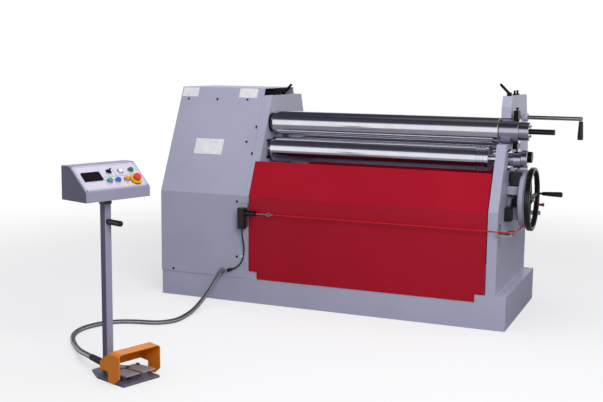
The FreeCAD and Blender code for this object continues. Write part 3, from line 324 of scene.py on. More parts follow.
# How each finish is made, the name of its material, its paint or sRGB hex code, and what differs from the usual
FINISHES = {"machine_paint": (enamel, "sprayed_enamel_machine", "machine", {"shine": 0.35}),
    "guard_red": (enamel, "sprayed_enamel_guard", "guard", {"roughness": 0.34, "shine": 0.28}),
    "roll_steel": (ground_steel, "ground_roll_steel", "steel", {"roughness": 0.11}),
    "bearing_steel": (ground_steel, "turned_bearing_steel", "bearing", {"roughness": 0.17, "pitch": 0.0025}),
    "dark_steel": (dark_steel, "blackened_steel", "17181B", {}), "casting_paint": (enamel,
    "enamel_on_casting", "casting", {"roughness": 0.42, "peel": 0.006, "peel_height": 0.0006, "edge": 0.003}),
    "black_plastic": (moulded, "moulded_black_nylon", "0E0E11", {"roughness": 0.34}), "knob_brown": (moulded,
    "moulded_brown_phenolic", "6E2F26", {"roughness": 0.3, "coat": 0.3}), "nylon_white": (moulded,
    "moulded_white_nylon", "EDEDEF", {"roughness": 0.4}), "wheel_black": (enamel, "stoved_black_enamel",
    "121215", {"roughness": 0.28, "peel": 0.004, "peel_height": 0.00005, "edge": 0.0012}),
    "rope_red": (rope_cover, "plastic_covered_rope", "rope", {}), "zinc_steel": (zinc_plate,
    "zinc_plated_steel", "zinc", {}), "hose_steel": (zinc_plate, "wound_strip_steel", "C6C6CB",
    {"roughness": 0.3}), "cable_rubber": (moulded, "moulded_rubber", "1B1B1E", {"roughness": 0.6,
    "grain_size": 0.002, "height": 0.0001}), "hood_orange": (enamel, "enamel_on_cast_hood", "hood",
    {"roughness": 0.33, "peel": 0.003, "peel_height": 0.00012, "edge": 0.0025}), "pedal_steel": (enamel,
    "enamel_on_floor_plate", "pedal", {"roughness": 0.4, "peel": 0.003, "peel_height": 0.0001}),
    "treadle_steel": (enamel, "enamel_on_treadle", "A8A0AC", {"roughness": 0.42, "peel": 0.003,
    "peel_height": 0.0001}), "console_paint": (enamel, "sprayed_enamel_console", "console",
    {"roughness": 0.4}), "panel_sheet": (brushed_sheet, "satin_panel_film", "panel", {}),
    "display_black": (moulded, "gloss_black_bezel", "0E0C0F", {"roughness": 0.2, "coat": 0.4}),
    "bezel_chrome": (zinc_plate, "polished_chrome", "D8D8DC", {"roughness": 0.12}), "stop_red": (moulded,
    "moulded_stop_red", "stop", {"roughness": 0.3, "coat": 0.2}), "stop_yellow": (moulded,
    "moulded_yellow_collar", "stop_ring", {}), "button_green": (moulded, "moulded_green_cap", "0B8A4A",
    GLOSSY_CAP), "button_teal": (moulded, "moulded_teal_cap", "3FA58C", GLOSSY_CAP), "button_blue": (moulded,
    "moulded_blue_cap", "2F66C8", GLOSSY_CAP), "button_orange": (moulded, "moulded_orange_cap", "F0921A",
    GLOSSY_CAP), "lamp_white": (moulded, "opal_lamp_lens", "F4F3F6", {"roughness": 0.18, "coat": 0.6}),
    # The console's end enamel also serves as painted shade on one side of the pole
    "console_end": (enamel, "sprayed_enamel_console_end", "console_end", {"roughness": 0.42}),
    "panel_line": (moulded, "printed_grey_line", "8E889C", {"roughness": 0.4}), "window": (smoked_window,
    "smoked_acrylic_window", "190E10", {}), "plate_white": (moulded, "white_film_plate", "F2F1F5",
    {"roughness": 0.4}),}


def finish_of(slot):
    """The material of a finish, made once."""
    make, name, paint, numbers = FINISHES[slot]
    found = bpy.data.materials.get(name)
    return found or make(name, getattr(paints(), paint) if hasattr(paints(), paint) else linear(paint),
        **numbers)


def dress(*nodes):
    """Gives CAD nodes the material of their own slot."""
    for name in nodes:
        mesh = frame["nodes"][name].data
        mesh.materials.clear()
        mesh.materials.append(finish_of(SLOT_OF[name]))


def dress_faces(node, finish, test):
    """Gives the faces of a CAD node that pass a test another finish."""
    mesh = frame["nodes"][node].data
    mesh.materials.append(finish_of(finish))
    slot = len(mesh.materials) - 1
    for face in mesh.polygons:
        if test(face.center, face.normal):
            face.material_index = slot


# Meshes


def linked(name, data):
    """A new object with its data, in the scene."""
    obj = bpy.data.objects.new(name, data)
    bpy.context.scene.collection.objects.link(obj)
    return obj


def piece(name, mesh, body, finish=None, smooth=None, stands_for=None):
    """Links a finished mesh as a piece that rides on a body, and may stand for a CAD node."""
    if smooth is not None:
        mesh.shade_smooth()
        mesh.set_sharp_from_angle(angle=math.radians(smooth))
    if finish:
        mesh.materials.clear()
        mesh.materials.append(finish_of(finish))
    obj = linked(name, mesh)
    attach(obj, body)
    if stands_for:
        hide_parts(stands_for)
    return obj


def mesh_from(build):
    """A mesh from a function that fills a bmesh, with its faces turned outwards."""
    work = bmesh.new()
    build(work)
    bmesh.ops.remove_doubles(work, verts=work.verts, dist=1e-6)
    bmesh.ops.recalc_face_normals(work, faces=work.faces)
    mesh = bpy.data.meshes.new("made")
    work.to_mesh(mesh)
    work.free()
    return mesh


def wall(work, low, high):
    """Faces between two loops of vertices."""
    for index in range(len(low)):
        after = (index + 1) % len(low)
        work.faces.new((low[index], low[after], high[after], high[index]))


def turned(work, rings, sides, place=Matrix(), hollow=False):
    """A form turned on Z from rings of (height, radius), with a corner count where one is a polygon.
    The last ring of a hollow form joins the first."""
    loops = []
    for height, radius, *corners in rings:
        loop = []
        for index in range(sides):
            angle = 2 * math.pi * index / sides
            reach = radius
            if corners:
                wedge = 2 * math.pi / corners[0]
                reach = radius * math.cos(wedge / 2) / math.cos(angle % wedge - wedge / 2)
            loop.append(work.verts.new(place @ Vector((reach * math.cos(angle), reach * math.sin(angle),
                height))))
        loops.append(loop)
    for low, high in zip(loops, loops[1:]):
        wall(work, low, high)
    if hollow:
        wall(work, loops[-1], loops[0])
    else:
        work.faces.new(list(reversed(loops[0])))
        work.faces.new(loops[-1])


def turned_piece(name, forms, body, slot, finish=None, smooth=35, stands_for=None):
    """A piece of turned forms, each given by its rings, sides and place."""
    def build(work):
        for rings, sides, place in forms:
            turned(work, rings, sides, place)

    return piece(name, mesh_from(build), body, finish or slot, smooth, stands_for)


def prism(work, low, high):
    """A closed form between two loops of places."""
    low, high = ([work.verts.new(place) for place in loop] for loop in (low, high))
    work.faces.new(list(reversed(low)))
    work.faces.new(high)
    wall(work, low, high)


def rounded_section(half_height, low, high, rounding, steps=4):
    """Corners of a rectangle in (height, radius) with rounded corners."""
    points = []
    for number, (side, radius) in enumerate(((1, high - rounding), (-1, high - rounding), (-1,
            low + rounding), (1, low + rounding))):
        for step in range(steps + 1):
            angle = math.pi / 2 * (number + step / steps)
            points.append((side * (half_height - rounding) + rounding * math.cos(angle),
                radius + rounding * math.sin(angle)))
    return points


def along_x(x, y, z):
    """Place of a form turned on Z that is to point along +X."""
    return Matrix.Translation((x, y, z)) @ Matrix.Rotation(math.pi / 2, 4, "Y")


def ring_of_places(x, centre, radius, degrees):
    """Places on a circle across X, each with its aim along +X."""
    return [(Vector((x, centre.y + radius * math.cos(angle), centre.z + radius * math.sin(angle))), ALONG_X)
            for angle in map(math.radians, degrees)]


def block(work, low, high, bevel=0.003):
    """A block between two corners, with narrow bevels."""
    made = bmesh.ops.create_cube(work, size=1.0)["verts"]
    for vertex in made:
        vertex.co = Vector([low[i] if vertex.co[i] < 0 else high[i] for i in range(3)])
    edges = list({edge for vertex in made for edge in vertex.link_edges})
    bmesh.ops.bevel(work, geom=edges, offset=bevel, segments=2, affect="EDGES")


def socket_screw_mesh(sides):
    """Button head of radius 1 with a hexagon recess."""
    rings = [(0, 1.0), (0.25, 1.0), (0.50, 0.82), (0.60, 0.58), (0.60, 0.50, 6), (0.25, 0.46, 6)]
    return mesh_from(lambda work: turned(work, rings, sides))


def hexagon_mesh(sides):
    """Hexagon head of radius 1 on a washer face."""
    rings = [(0, 1.18), (0.14, 1.18), (0.14, 1.0, 6), (0.68, 1.0, 6), (0.80, 0.86)]
    return mesh_from(lambda work: turned(work, rings, sides))


def geometry_tree(name, sockets):
    """A node tree with the named inputs, and the outputs of its first node."""
    tree = bpy.data.node_groups.new(name, "GeometryNodeTree")
    tree.interface.new_socket("Geometry", in_out="INPUT", socket_type="NodeSocketGeometry")
    for label, kind, value in sockets:
        socket = tree.interface.new_socket(label, in_out="INPUT", socket_type="NodeSocket" + kind)
        if value is not None:
            socket.default_value = value
    tree.interface.new_socket("Geometry", in_out="OUTPUT", socket_type="NodeSocketGeometry")
    return tree, add(tree, "NodeGroupInput").outputs


def close_tree(tree, given, geometry):
    """Ends a tree with plain geometry in the given material."""
    real = add(tree, "GeometryNodeRealizeInstances", {"Geometry": geometry})
    done = add(tree, "GeometryNodeSetMaterial", {"Geometry": real, "Material": given["Material"]})
    add(tree, "NodeGroupOutput", {"Geometry": done})
    return tree


def fastener_tree():
    """Sets one head on each point of a mesh, turned to the point's own aim."""
    tree, given = geometry_tree("fasteners", (("Head", "Object", None), ("Head Radius", "Float", 0.006),
        ("Material", "Material", None)))
    head = add(tree, "GeometryNodeObjectInfo", {"Object": given["Head"]})
    aim = add(tree, "GeometryNodeInputNamedAttribute", {"Name": "aim"}, data_type="FLOAT_VECTOR")
    turn = add(tree, "FunctionNodeAlignRotationToVector", {"Vector": aim.outputs["Attribute"]}, axis="Z")
    heads = add(tree, "GeometryNodeInstanceOnPoints",
                {"Points": given["Geometry"], "Instance": head.outputs["Geometry"],
                 "Rotation": turn, "Scale": given["Head Radius"]})
    return close_tree(tree, given, heads)


def ribbed_tree():
    """Sweeps a round section along a curve, thick and thin by turns."""
    tree, given = geometry_tree("ribbed_sweep", (("Radius", "Float", 0.012), ("Rib Depth", "Float", 0.001),
        ("Rib Pitch", "Float", 0.005), ("Sides", "Int", 16), ("Material", "Material", None)))
    step = add(tree, "ShaderNodeMath", {0: given["Rib Pitch"], 1: 4.0}, operation="DIVIDE")
    line = add(tree, "GeometryNodeResampleCurve", {"Curve": given["Geometry"], "Length": step},
               mode="LENGTH")
    count = add(tree, "GeometryNodeInputIndex")
    phase = add(tree, "ShaderNodeMath", {0: count, 1: 4.0}, operation="MODULO")
    low = add(tree, "ShaderNodeMath", {0: phase, 1: 1.5}, operation="GREATER_THAN")
    drop = add(tree, "ShaderNodeMath", {0: low, 1: given["Rib Depth"]}, operation="MULTIPLY")
    size = add(tree, "ShaderNodeMath", {0: given["Radius"], 1: drop}, operation="SUBTRACT")
    section = add(tree, "GeometryNodeCurvePrimitiveCircle", {"Resolution": given["Sides"], "Radius": 1.0})
    swept = add(tree, "GeometryNodeCurveToMesh", {"Curve": line, "Profile Curve": section, "Scale": size,
        "Fill Caps": True})
    return close_tree(tree, given, swept)


def node_tree(name, make):
    """A geometry tree, made once."""
    return bpy.data.node_groups.get(name) or make()


def plain_mesh(source):
    """The mesh that an object shows. The object itself goes."""
    depsgraph = bpy.context.evaluated_depsgraph_get()
    mesh = bpy.data.meshes.new_from_object(source.evaluated_get(depsgraph), depsgraph=depsgraph)
    bpy.data.objects.remove(source)
    return mesh


def run_tree(data, tree, values):
    """Runs a geometry tree on a mesh or curve and returns the plain mesh it makes."""
    source = linked("source", data)
    modifier = source.modifiers.new("made", "NODES")
    modifier.node_group = tree
    for item in tree.interface.items_tree:
        if item.in_out == "INPUT" and item.name in values:
            modifier[item.identifier] = values[item.name]
    return plain_mesh(source)


def fasteners(name, head_mesh, places, radius, body, slot):
    """One piece of like heads on one body, from (place, aim) pairs."""
    points = bpy.data.meshes.new("points")
    points.from_pydata([tuple(place) for place, _ in places], [], [])
    aims = points.attributes.new("aim", "FLOAT_VECTOR", "POINT")
    aims.data.foreach_set("vector", [value for _, aim in places for value in aim])
    head = linked("head", head_mesh)
    mesh = run_tree(points, node_tree("fasteners", fastener_tree),
                    {"Head": head, "Head Radius": radius, "Material": finish_of(slot)})
    bpy.data.objects.remove(head)
    return piece(name, mesh, body, smooth=32)


def curve_data(points, order=None):
    """A poly curve, or a NURBS one of the given order."""
    data = bpy.data.curves.new("route", "CURVE")
    data.dimensions = "3D"
    data.resolution_u = 12
    spline = data.splines.new("NURBS" if order else "POLY")
    spline.points.add(len(points) - 1)
    for target, point in zip(spline.points, points):
        target.co = (*point, 1.0)
    if order:
        spline.order_u = order
        spline.use_endpoint_u = True
    return data


def centre_line(data):
    """Points along a curve's own line."""
    return [tuple(vertex.co) for vertex in plain_mesh(linked("line", data)).vertices]


def on_cover(side, x, z):
    """Place and outward aim on the front of a cover sheet, side -1, or on its back, side 1, at a height."""
    bend, lean = (FRONT_BEND, FRONT_LEAN) if side < 0 else (BACK_BEND, BACK_LEAN)
    y = side * (BASE_HALF_DEPTH + COVER_SHEET - lean * max(0.0, z - bend))
    return Vector((x, y, z)), Vector((0, side, lean if z > bend else 0.0)).normalized()


def stand_matrix():
    return Matrix.Translation(STAND_PLACE) @ Matrix.Rotation(STAND_ANGLE, 4, "Z")


def panel_matrix():
    """From flat panel sizes, with Z as its normal, to the row frame."""
    return stand_matrix() @ Matrix.Translation(PANEL_FOOT) @ Matrix.Rotation(PANEL_SLOPE, 4, "X")


# Pieces


class PLATE_ROLL_OT_control_hose(bpy.types.Operator):
    """Strip wound hose from the cabinet over the floor to the foot switch"""
    bl_idname = "plate_roll.control_hose"
    bl_label = "Control Hose"

    # The same route as the solid's, in metres
    route = ((-0.603, -0.439406, 0.156798), (-0.603, -0.494219, 0.132394), (-0.602, -0.570, 0.088), (-0.601,
        -0.655, 0.049), (-0.599, -0.740, 0.022), (-0.596, -0.820, 0.013), (-0.590, -0.918, 0.0125), (-0.605,
        -0.966, 0.0125), (-0.636, -1.005, 0.0125), (-0.679, -1.031, 0.0125), (-0.770, -1.049, 0.0125),
        (-0.850, -1.082, 0.0125), (-0.905, -1.150, 0.0125), (-0.934, -1.235, 0.0125), (-0.934, -1.315,
        0.0125), (-0.905, -1.395, 0.0125), (-0.855, -1.465, 0.0125), (-0.790, -1.535, 0.0125), (-0.705,
        -1.620, 0.024), (-0.615607, -1.711127, 0.048), (-0.549238, -1.745933, 0.048))

    def execute(self, context):
        sizes = context.scene.plate_roll_sizes
        dress("cabinet_gland", "pedal_gland")
        data = curve_data(self.route, 3)
        line = centre_line(data)
        mesh = run_tree(data, node_tree("ribbed_sweep", ribbed_tree), {"Radius": sizes.hose_radius,
            "Rib Depth": sizes.hose_rib, "Rib Pitch": sizes.hose_pitch, "Sides": 20,
            "Material": finish_of("hose_steel")})
        hose = piece("strip_wound_hose", mesh, "root", smooth=60)
        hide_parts("control_hose")
        return {"FINISHED"}


class PLATE_ROLL_OT_welded_frame(bpy.types.Operator):
    """Base, end frames and cabinet in sprayed enamel, with the welds between them"""
    bl_idname = "plate_roll.welded_frame"
    bl_label = "Welded Frame"

    def execute(self, context):
        sizes = context.scene.plate_roll_sizes
        dress("base_frame", "left_end_frame", "right_end_frame", "drive_cabinet")
        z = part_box("base_frame")[1].z
        rows = [((RIGHT_FRAME_X[1], -0.396), (RIGHT_FRAME_X[1], 0.396)),
                ((RIGHT_FRAME_X[0], -0.396), (RIGHT_FRAME_X[0], 0.396)),
                ((LEFT_FRAME_X[1], -0.396), (LEFT_FRAME_X[1], 0.396))]
        for number, (start, end) in enumerate(rows, 1):
            mesh = run_tree(curve_data([(*start, z), (*end, z)]), node_tree("ribbed_sweep", ribbed_tree),
                {"Radius": sizes.weld_radius, "Rib Depth": 0.0008, "Rib Pitch": sizes.weld_pitch, "Sides": 8,
                "Material": finish_of("machine_paint")})
            piece(f"frame_weld_{number}", mesh, "root", smooth=60)
        return {"FINISHED"}


class PLATE_ROLL_OT_guards(bpy.types.Operator):
    """Folded guards in red enamel"""
    bl_idname = "plate_roll.guards"
    bl_label = "Guards"

    def execute(self, context):
        dress("front_guard", "rear_guard")
        return {"FINISHED"}


class PLATE_ROLL_OT_rolls(bpy.types.Operator):
    """Ground rolls with their ball seat, blocks and end bearings"""
    bl_idname = "plate_roll.rolls"
    bl_label = "Rolls"

    def execute(self, context):
        dress("top_roll", "pinch_roll", "rear_roll", "socket_ring", "top_bearing_housing", "top_bearing_cap",
              "pinch_blocks", "rear_blocks")
        self.hook()
        self.stepped_bearing()
        screws = ring_of_places(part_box("top_bearing_cap")[1].x, TOP_ROLL, 0.036, (45, 135, 225, 315))
        fasteners("end_cap_screws", socket_screw_mesh(24), screws, 0.0055, "swing_bearing", "dark_steel")
        return {"FINISHED"}

    def hook(self):
        """Hook that grips the end bearing from behind, with its stop screw"""
        # Outline round the housing's back, in housing radii from its axis
        top = 1.63
        outer = ((-0.34, top), (0.52, top), (0.7, 1.25), (1.2, 0.8), (1.33, 0.0), (1.23, -0.7), (0.95, -1.3),
                 (0.3, -1.5), (-0.3, -1.42))
        inner_radius = 1.002
        half_opening = 110
        steps = 32
        inner = [(inner_radius * math.cos(angle), inner_radius * math.sin(angle)) for angle in
                 (math.radians(-half_opening + 2 * half_opening * step / steps) for step in range(steps + 1))]
        shape = [(TOP_ROLL.y + dy * HOUSING_RADIUS, TOP_ROLL.z + dz * HOUSING_RADIUS)
                 for dy, dz in (*outer, *inner)]
        thickness = 0.024
        x0 = RIGHT_FRAME_X[1] + 0.014
        screw = Matrix.Translation((x0 + thickness / 2, TOP_ROLL.y + 0.008,
            TOP_ROLL.z + top * HOUSING_RADIUS - 0.001))

        def build(work):
            prism(work, *([(x, y, z) for y, z in shape] for x in (x0, x0 + thickness)))
            turned(work, [(0, 0.004), (0.011, 0.004)], 20, screw)
            turned(work, [(0.010, 0.0085), (0.011, 0.009), (0.015, 0.009), (0.016, 0.008)], 24, screw)

        piece("bearing_hook", mesh_from(build), "swing_bearing", "dark_steel", 35,
            "bearing_yoke")

    def stepped_bearing(self):
        """End bearing of the pinch roll: neck, nose and drum in steps, and its dark knob"""
        start = RIGHT_FRAME_X[1] + 0.005
        nose, drum, knob = (along_x(start, PINCH_ROLL.y, PINCH_ROLL.z + rise) for rise in (0.0, 0.006, 0.016))
        turned_piece("pinch_bearing", (
            ([(0, 0.033), (0.021, 0.033)], 48, nose),
            ([(0.020, 0.038), (0.022, 0.0415), (0.060, 0.0415), (0.062, 0.040)], 64, nose),
            ([(0.062, 0.040), (0.063, 0.0445), (0.090, 0.0445), (0.093, 0.041)], 64, drum)),
            "pinch_carrier", "bearing_steel", stands_for="pinch_end_bearing")
        turned_piece("pinch_bearing_knob", (
            ([(0.093, 0.026), (0.094, 0.0285), (0.112, 0.0285), (0.114, 0.0265)], 48, knob),),
            "pinch_carrier", "dark_steel", stands_for="pinch_knob")


class PLATE_ROLL_OT_hand_controls(bpy.types.Operator):
    """Handwheel, crank, pull rod, clamp levers and wing nuts"""
    bl_idname = "plate_roll.hand_controls"
    bl_label = "Hand Controls"

    def execute(self, context):
        dress("pull_rod", "position_box", "crank_bar", "clamp_lever_left", "clamp_lever_right", "lock_knobs")
        self.wheel()
        self.grips()
        self.castings()
        return {"FINISHED"}

    def rim_place(self, degrees):
        """Y and height of a place on the rim, turned from the back."""
        angle = math.radians(degrees)
        return WHEEL.y + RIM_RADIUS * math.cos(angle), WHEEL.z + RIM_RADIUS * math.sin(angle)

    def wheel(self):
        """Deep polished rim, three tapering spokes and a coned hub"""
        def build(work):
            turned(work, rounded_section(0.014, 0.148, 0.166, 0.006), 96, along_x(*WHEEL), hollow=True)
            turned(work, [(-0.030, 0.030), (-0.030, 0.032), (-0.008, 0.031), (0.0, 0.024), (0.003, 0.018),
                (0.003, 0.017)], 32, along_x(*WHEEL))
            turned(work, [(-0.037, 0.012), (-0.029, 0.012)], 24, along_x(*WHEEL))
            for number in range(3):
                start = WHEEL - Vector((0.016, 0, 0))
                way = Vector((WHEEL.x, *self.rim_place(GRIP_ANGLE + 120 * number))) - start
                turn = Matrix.Translation(start) @ way.to_track_quat("Z", "Y").to_matrix().to_4x4()
                turned(work, [(0.018, 0.014), (0.040, 0.0125), (way.length - 0.002, 0.009)], 20, turn)

        piece("wheel_casting", mesh_from(build), "wheel", "wheel_black", 35, "handwheel")
        fasteners("wheel_hub_nut", hexagon_mesh(24), [(WHEEL + 0.003 * ALONG_X, ALONG_X)], 0.013, "wheel",
                  "zinc_steel")

    def grips(self):
        """Turned handles, thicker at their free end, and the small knob on the rim"""
        handle = ((0.0, 0.0090), (0.002, 0.0100), (0.040, 0.0118), (0.080, 0.0136), (0.098, 0.0140),
                  (0.104, 0.0130), (0.106, 0.0100))
        knob = ((0.0, 0.0060), (0.010, 0.0062), (0.022, 0.0098), (0.026, 0.0100), (0.0275, 0.0085))
        low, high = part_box("crank_grip")
        hang = Matrix.Translation(((low.x + high.x) / 2, (low.y + high.y) / 2, high.z)) @ Matrix.Rotation(
            math.pi, 4, "X")
        pin_radius = 0.0058
        for name, shape, place, pin, body, finish, node in (("wheel_grip", handle, along_x(1.082,
                *self.rim_place(GRIP_ANGLE)), 0.018, "wheel", "black_plastic", "handwheel_grip"),
                ("hanging_grip", [(h * 0.94, r + 0.0016) for h, r in handle], hang, 0.002, "crank",
                "black_plastic", "crank_grip"), ("rim_knob", knob, along_x(1.0685, *self.rim_place(-17.5)),
                0.002, "wheel", "knob_brown", None)):
            turned_piece(name, ((shape, 32, place), ([(-pin, pin_radius), (0.001, pin_radius)], 20, place)),
                body, "black_plastic", finish, stands_for=node)

    def castings(self):
        """Round case behind the wheel, the arm that carries it and the black gear block"""
        side = RIGHT_FRAME_X[1]
        case_x = side + 0.064
        foot = 0.014
        reach = 0.065

        def blocks(work, corners):
            for (x0, y0, z0), (x1, y1, z1) in corners:
                block(work, (side + x0, WHEEL.y + y0, WHEEL.z + z0), (side + x1, WHEEL.y + y1, WHEEL.z + z1))

        def case(work):
            turned(work, [(0, 0.141), (0, 0.143), (0.006, 0.151), (0.024, 0.151), (0.026, 0.149), (0.026,
                0.144), (0.012, 0.138), (0.012, 0.05), (0.016, 0.046), (0.016, 0.020)], 96, along_x(case_x,
                WHEEL.y, WHEEL.z))
            turned(work, [(0, 0.045), (reach, 0.045)], 48, along_x(side, WHEEL.y, WHEEL.z))
            blocks(work, (((0, -0.052, -0.105), (foot, 0.052, 0.071)), ((0, -0.090, 0.027), (reach, -0.020,
                0.071)), ((0, -0.066, -0.105), (reach, 0.040, -0.038))))

        piece("gear_case", mesh_from(case), "root", "casting_paint", 35, "gear_bracket")
        piece("gear_block", mesh_from(lambda work: blocks(work, (
            ((0.016, -0.084, 0.074), (0.074, 0.050, 0.146)), ((0, -0.040, 0.080), (0.018, 0.040, 0.140))))),
            "root", "black_plastic", 35)
        worm = Matrix.Translation((side + 0.050, WHEEL.y - 0.040, WHEEL.z - 0.004)) @ Matrix.Rotation(
            math.pi / 2, 4, "X")
        turned_piece("worm_end", (([(0, 0.024), (0.052, 0.024), (0.055, 0.021), (0.055, 0.014), (0.066,
            0.014), (0.068, 0.012)], 32, worm),), "root", "dark_steel")
        bolts = ring_of_places(case_x + 0.012, WHEEL, 0.128, (30, 150, 205, 330))
        bolts += [(Vector((side + foot, WHEEL.y + dy, WHEEL.z + dz)), ALONG_X)
                  for dy, dz in ((-0.043, 0.015), (0.043, 0.015), (0.043, 0.062), (0.046, -0.030))]
        fasteners("casting_bolts", hexagon_mesh(24), bolts, 0.0065, "root", "dark_steel")


class PLATE_ROLL_OT_trip_rope(bpy.types.Operator):
    """Trip rope along the front with its switch and fittings"""
    bl_idname = "plate_roll.trip_rope"
    bl_label = "Trip Rope"

    def execute(self, context):
        dress("rope_switch", "trip_rope", "rope_fittings", "switch_cable", "cable_fittings")
        dress_faces("cable_fittings", "nylon_white", lambda centre, normal: centre.z > 0.25)
        return {"FINISHED"}


class PLATE_ROLL_OT_foot_switch(bpy.types.Operator):
    """Floor plate, cast hood and treadles of the foot switch"""
    bl_idname = "plate_roll.foot_switch"
    bl_label = "Foot Switch"

    def execute(self, context):
        dress("pedal_plate", "pedal_hood", "treadle_left", "treadle_right", "treadle_bearing")
        return {"FINISHED"}


class PLATE_ROLL_OT_console(bpy.types.Operator):
    """Pole, console, panel and its fittings"""
    bl_idname = "plate_roll.console"
    bl_label = "Console"

    # Places on the panel, across and up from the middle of its foot, and the height of its sheet
    stop = (0.112, 0.042)
    lamp = (0.060, 0.095)
    display = (-0.094, 0.079)
    skin = 0.0022

    def execute(self, context):
        dress("stand_pole", "pole_collar", "stand_grip", "console_body", "console_panel", "display",
              "button_bezels", "estop_head", "selector_knob", "button_green", "button_teal", "button_blue",
              "button_orange")
        across = stand_matrix().to_3x3() @ ALONG_X
        dress_faces("console_body", "console_end", lambda centre, normal: abs(normal.dot(across)) > 0.9)
        # Painted shade: the pole's face towards -X of the stand gets the darker end enamel
        dress_faces("stand_pole", "console_end", lambda centre, normal: normal.dot(across) < -0.7)
        back = panel_matrix().inverted()

        def near(x, v, reach):
            return lambda centre, normal: ((back @ centre).xy - Vector((x, v))).length < reach

        dress_faces("button_bezels", "stop_yellow", near(*self.stop, 0.021))
        self.panel_details()
        dress_faces("button_bezels", "lamp_white", near(*self.lamp, 0.0101))
        self.window()
        return {"FINISHED"}

    def panel_details(self):
        """Dished yellow collar with its dark rim, group lines and corner screws on the panel"""
        place = panel_matrix()
        collar = place @ Matrix.Translation((*self.stop, self.skin))
        turned_piece("stop_collar_rim", (([(0, 0.0275), (0.003, 0.0275), (0.004, 0.0265)], 48, collar),),
            "root", "dark_steel", "display_black")
        turned_piece("stop_collar", (([(0.003, 0.0262), (0.0075, 0.0262), (0.0085, 0.0250), (0.0070, 0.0205),
            (0.0070, 0.0120)], 48, collar),), "root", "button_orange", "stop_yellow")
        half_width = 0.0006
        left, right, low, high = -0.150, 0.150, 0.012, 0.138
        split, row = -0.040, 0.072

        def lines(work):
            for x0, v0, x1, v1 in ((left, high, right, high), (left, low, right, low), (left, low, left,
                    high), (right, low, right, high), (split, 0.024, split, 0.130), (split, row, 0.138, row),
                    (0.029, 0.074, 0.029, 0.130)):
                start, end = Vector((x0, v0, 0)), Vector((x1, v1, 0))
                way = (end - start).normalized()
                side = Vector((-way.y, way.x, 0)) * half_width
                corners = (start - side, end - side, end + side, start + side)
                prism(work, *([place @ (corner + Vector((0, 0,
                    height))) for corner in corners] for height in (self.skin - 0.0001, self.skin + 0.0002)))

        piece("panel_lines", mesh_from(lines), "root", "panel_line")
        corners = [(place @ Vector((x, v, self.skin)), place.to_3x3() @ Vector((0, 0, 1)))
                   for x in (-0.155, 0.155) for v in (0.008, 0.143)]
        fasteners("panel_screws", socket_screw_mesh(20), corners, 0.0028, "root", "zinc_steel")

    def window(self):
        """Smoked window laid on the display."""
        half_x, half_v = 0.038, 0.016
        back, front = 0.0069, 0.0074
        place = panel_matrix() @ Matrix.Translation((*self.display, 0))

        def build(work):
            prism(work, *([place @ Vector((a * half_x, b * half_v, height)) for a, b in ((-1, -1), (1, -1),
                (1, 1), (-1, 1))] for height in (back, front)))
            bmesh.ops.bevel(work, geom=list(work.edges), offset=0.00015, segments=1, affect="EDGES")

        piece("display_window", mesh_from(build), "root", "window")


class PLATE_ROLL_OT_fasteners(bpy.types.Operator):
    """Screws of the covers and guards, the cover plugs and blank plates"""
    bl_idname = "plate_roll.fasteners"
    bl_label = "Fasteners"

    # X and height of the cabinet's front screws, as the photograph shows them
    cabinet = ((-0.945, 1.121), (-0.757, 1.122), (-0.564, 1.124), (-0.518, 0.892), (-0.5115, 0.569),
               (-0.5115, 0.258), (-0.920, 0.153))

    def execute(self, context):
        sizes = context.scene.plate_roll_sizes
        screw = socket_screw_mesh(sizes.sides)
        both = [on_cover(side, x, z) for side in (-1, 1) for x, z in self.cabinet]
        left = [(Vector((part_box("drive_cabinet")[0].x, y, z)), -ALONG_X) for y, z in ((-0.37, 0.155), (0.0,
            0.155), (0.37, 0.155), (-0.37, 0.56), (0.37, 0.56), (-0.13, 1.12), (0.22, 1.12))]
        fasteners("cabinet_screws", screw, both + left, sizes.screw_radius, "root", "dark_steel")
        rivets = [on_cover(side, x, z) for side in (-1, 1) for z in (0.265, 0.581) for x in (-0.4225, 0.872)]
        fasteners("guard_screws", screw, rivets, 0.0052, "root", "guard_red")
        self.plugs()
        self.blank_plates()
        return {"FINISHED"}

    def plugs(self):
        """Oval rubber plugs beside the roll's seat"""
        dome = ((0, 1.0), (0.35, 1.0), (0.8, 0.75), (1.0, 0.35))
        oval = Matrix.Diagonal((0.0055, 0.0105, 0.004, 1))
        seats = [on_cover(-1, x, z) for x, z in ((-0.4746, 0.974), (-0.4703, 0.829))]
        forms = [(dome, 24, Matrix.Translation(place) @ aim.to_track_quat("Z",
            "Y").to_matrix().to_4x4() @ oval) for place, aim in seats]
        turned_piece("cover_plugs", forms, "root", "black_plastic", smooth=40)

    def blank_plates(self):
        """Bare white plates on the cabinet's leaning front"""
        thickness = 0.0008
        plates = ((-0.992, -0.888, 1.134, 1.186), (-0.622, -0.507, 1.134, 1.186), (-0.838, -0.660, 0.815,
            0.900))
        for number, (x0, x1, z0, z1) in enumerate(plates, 1):
            corners = [on_cover(-1, x, z) for x, z in ((x0, z0), (x1, z0), (x1, z1), (x0, z1))]
            back, front = ([place + aim * lift for place, aim in corners] for lift in (0.0, thickness))
            piece(f"blank_plate_{number}", mesh_from(lambda work: prism(work, back, front)), "root",
                "plate_white")


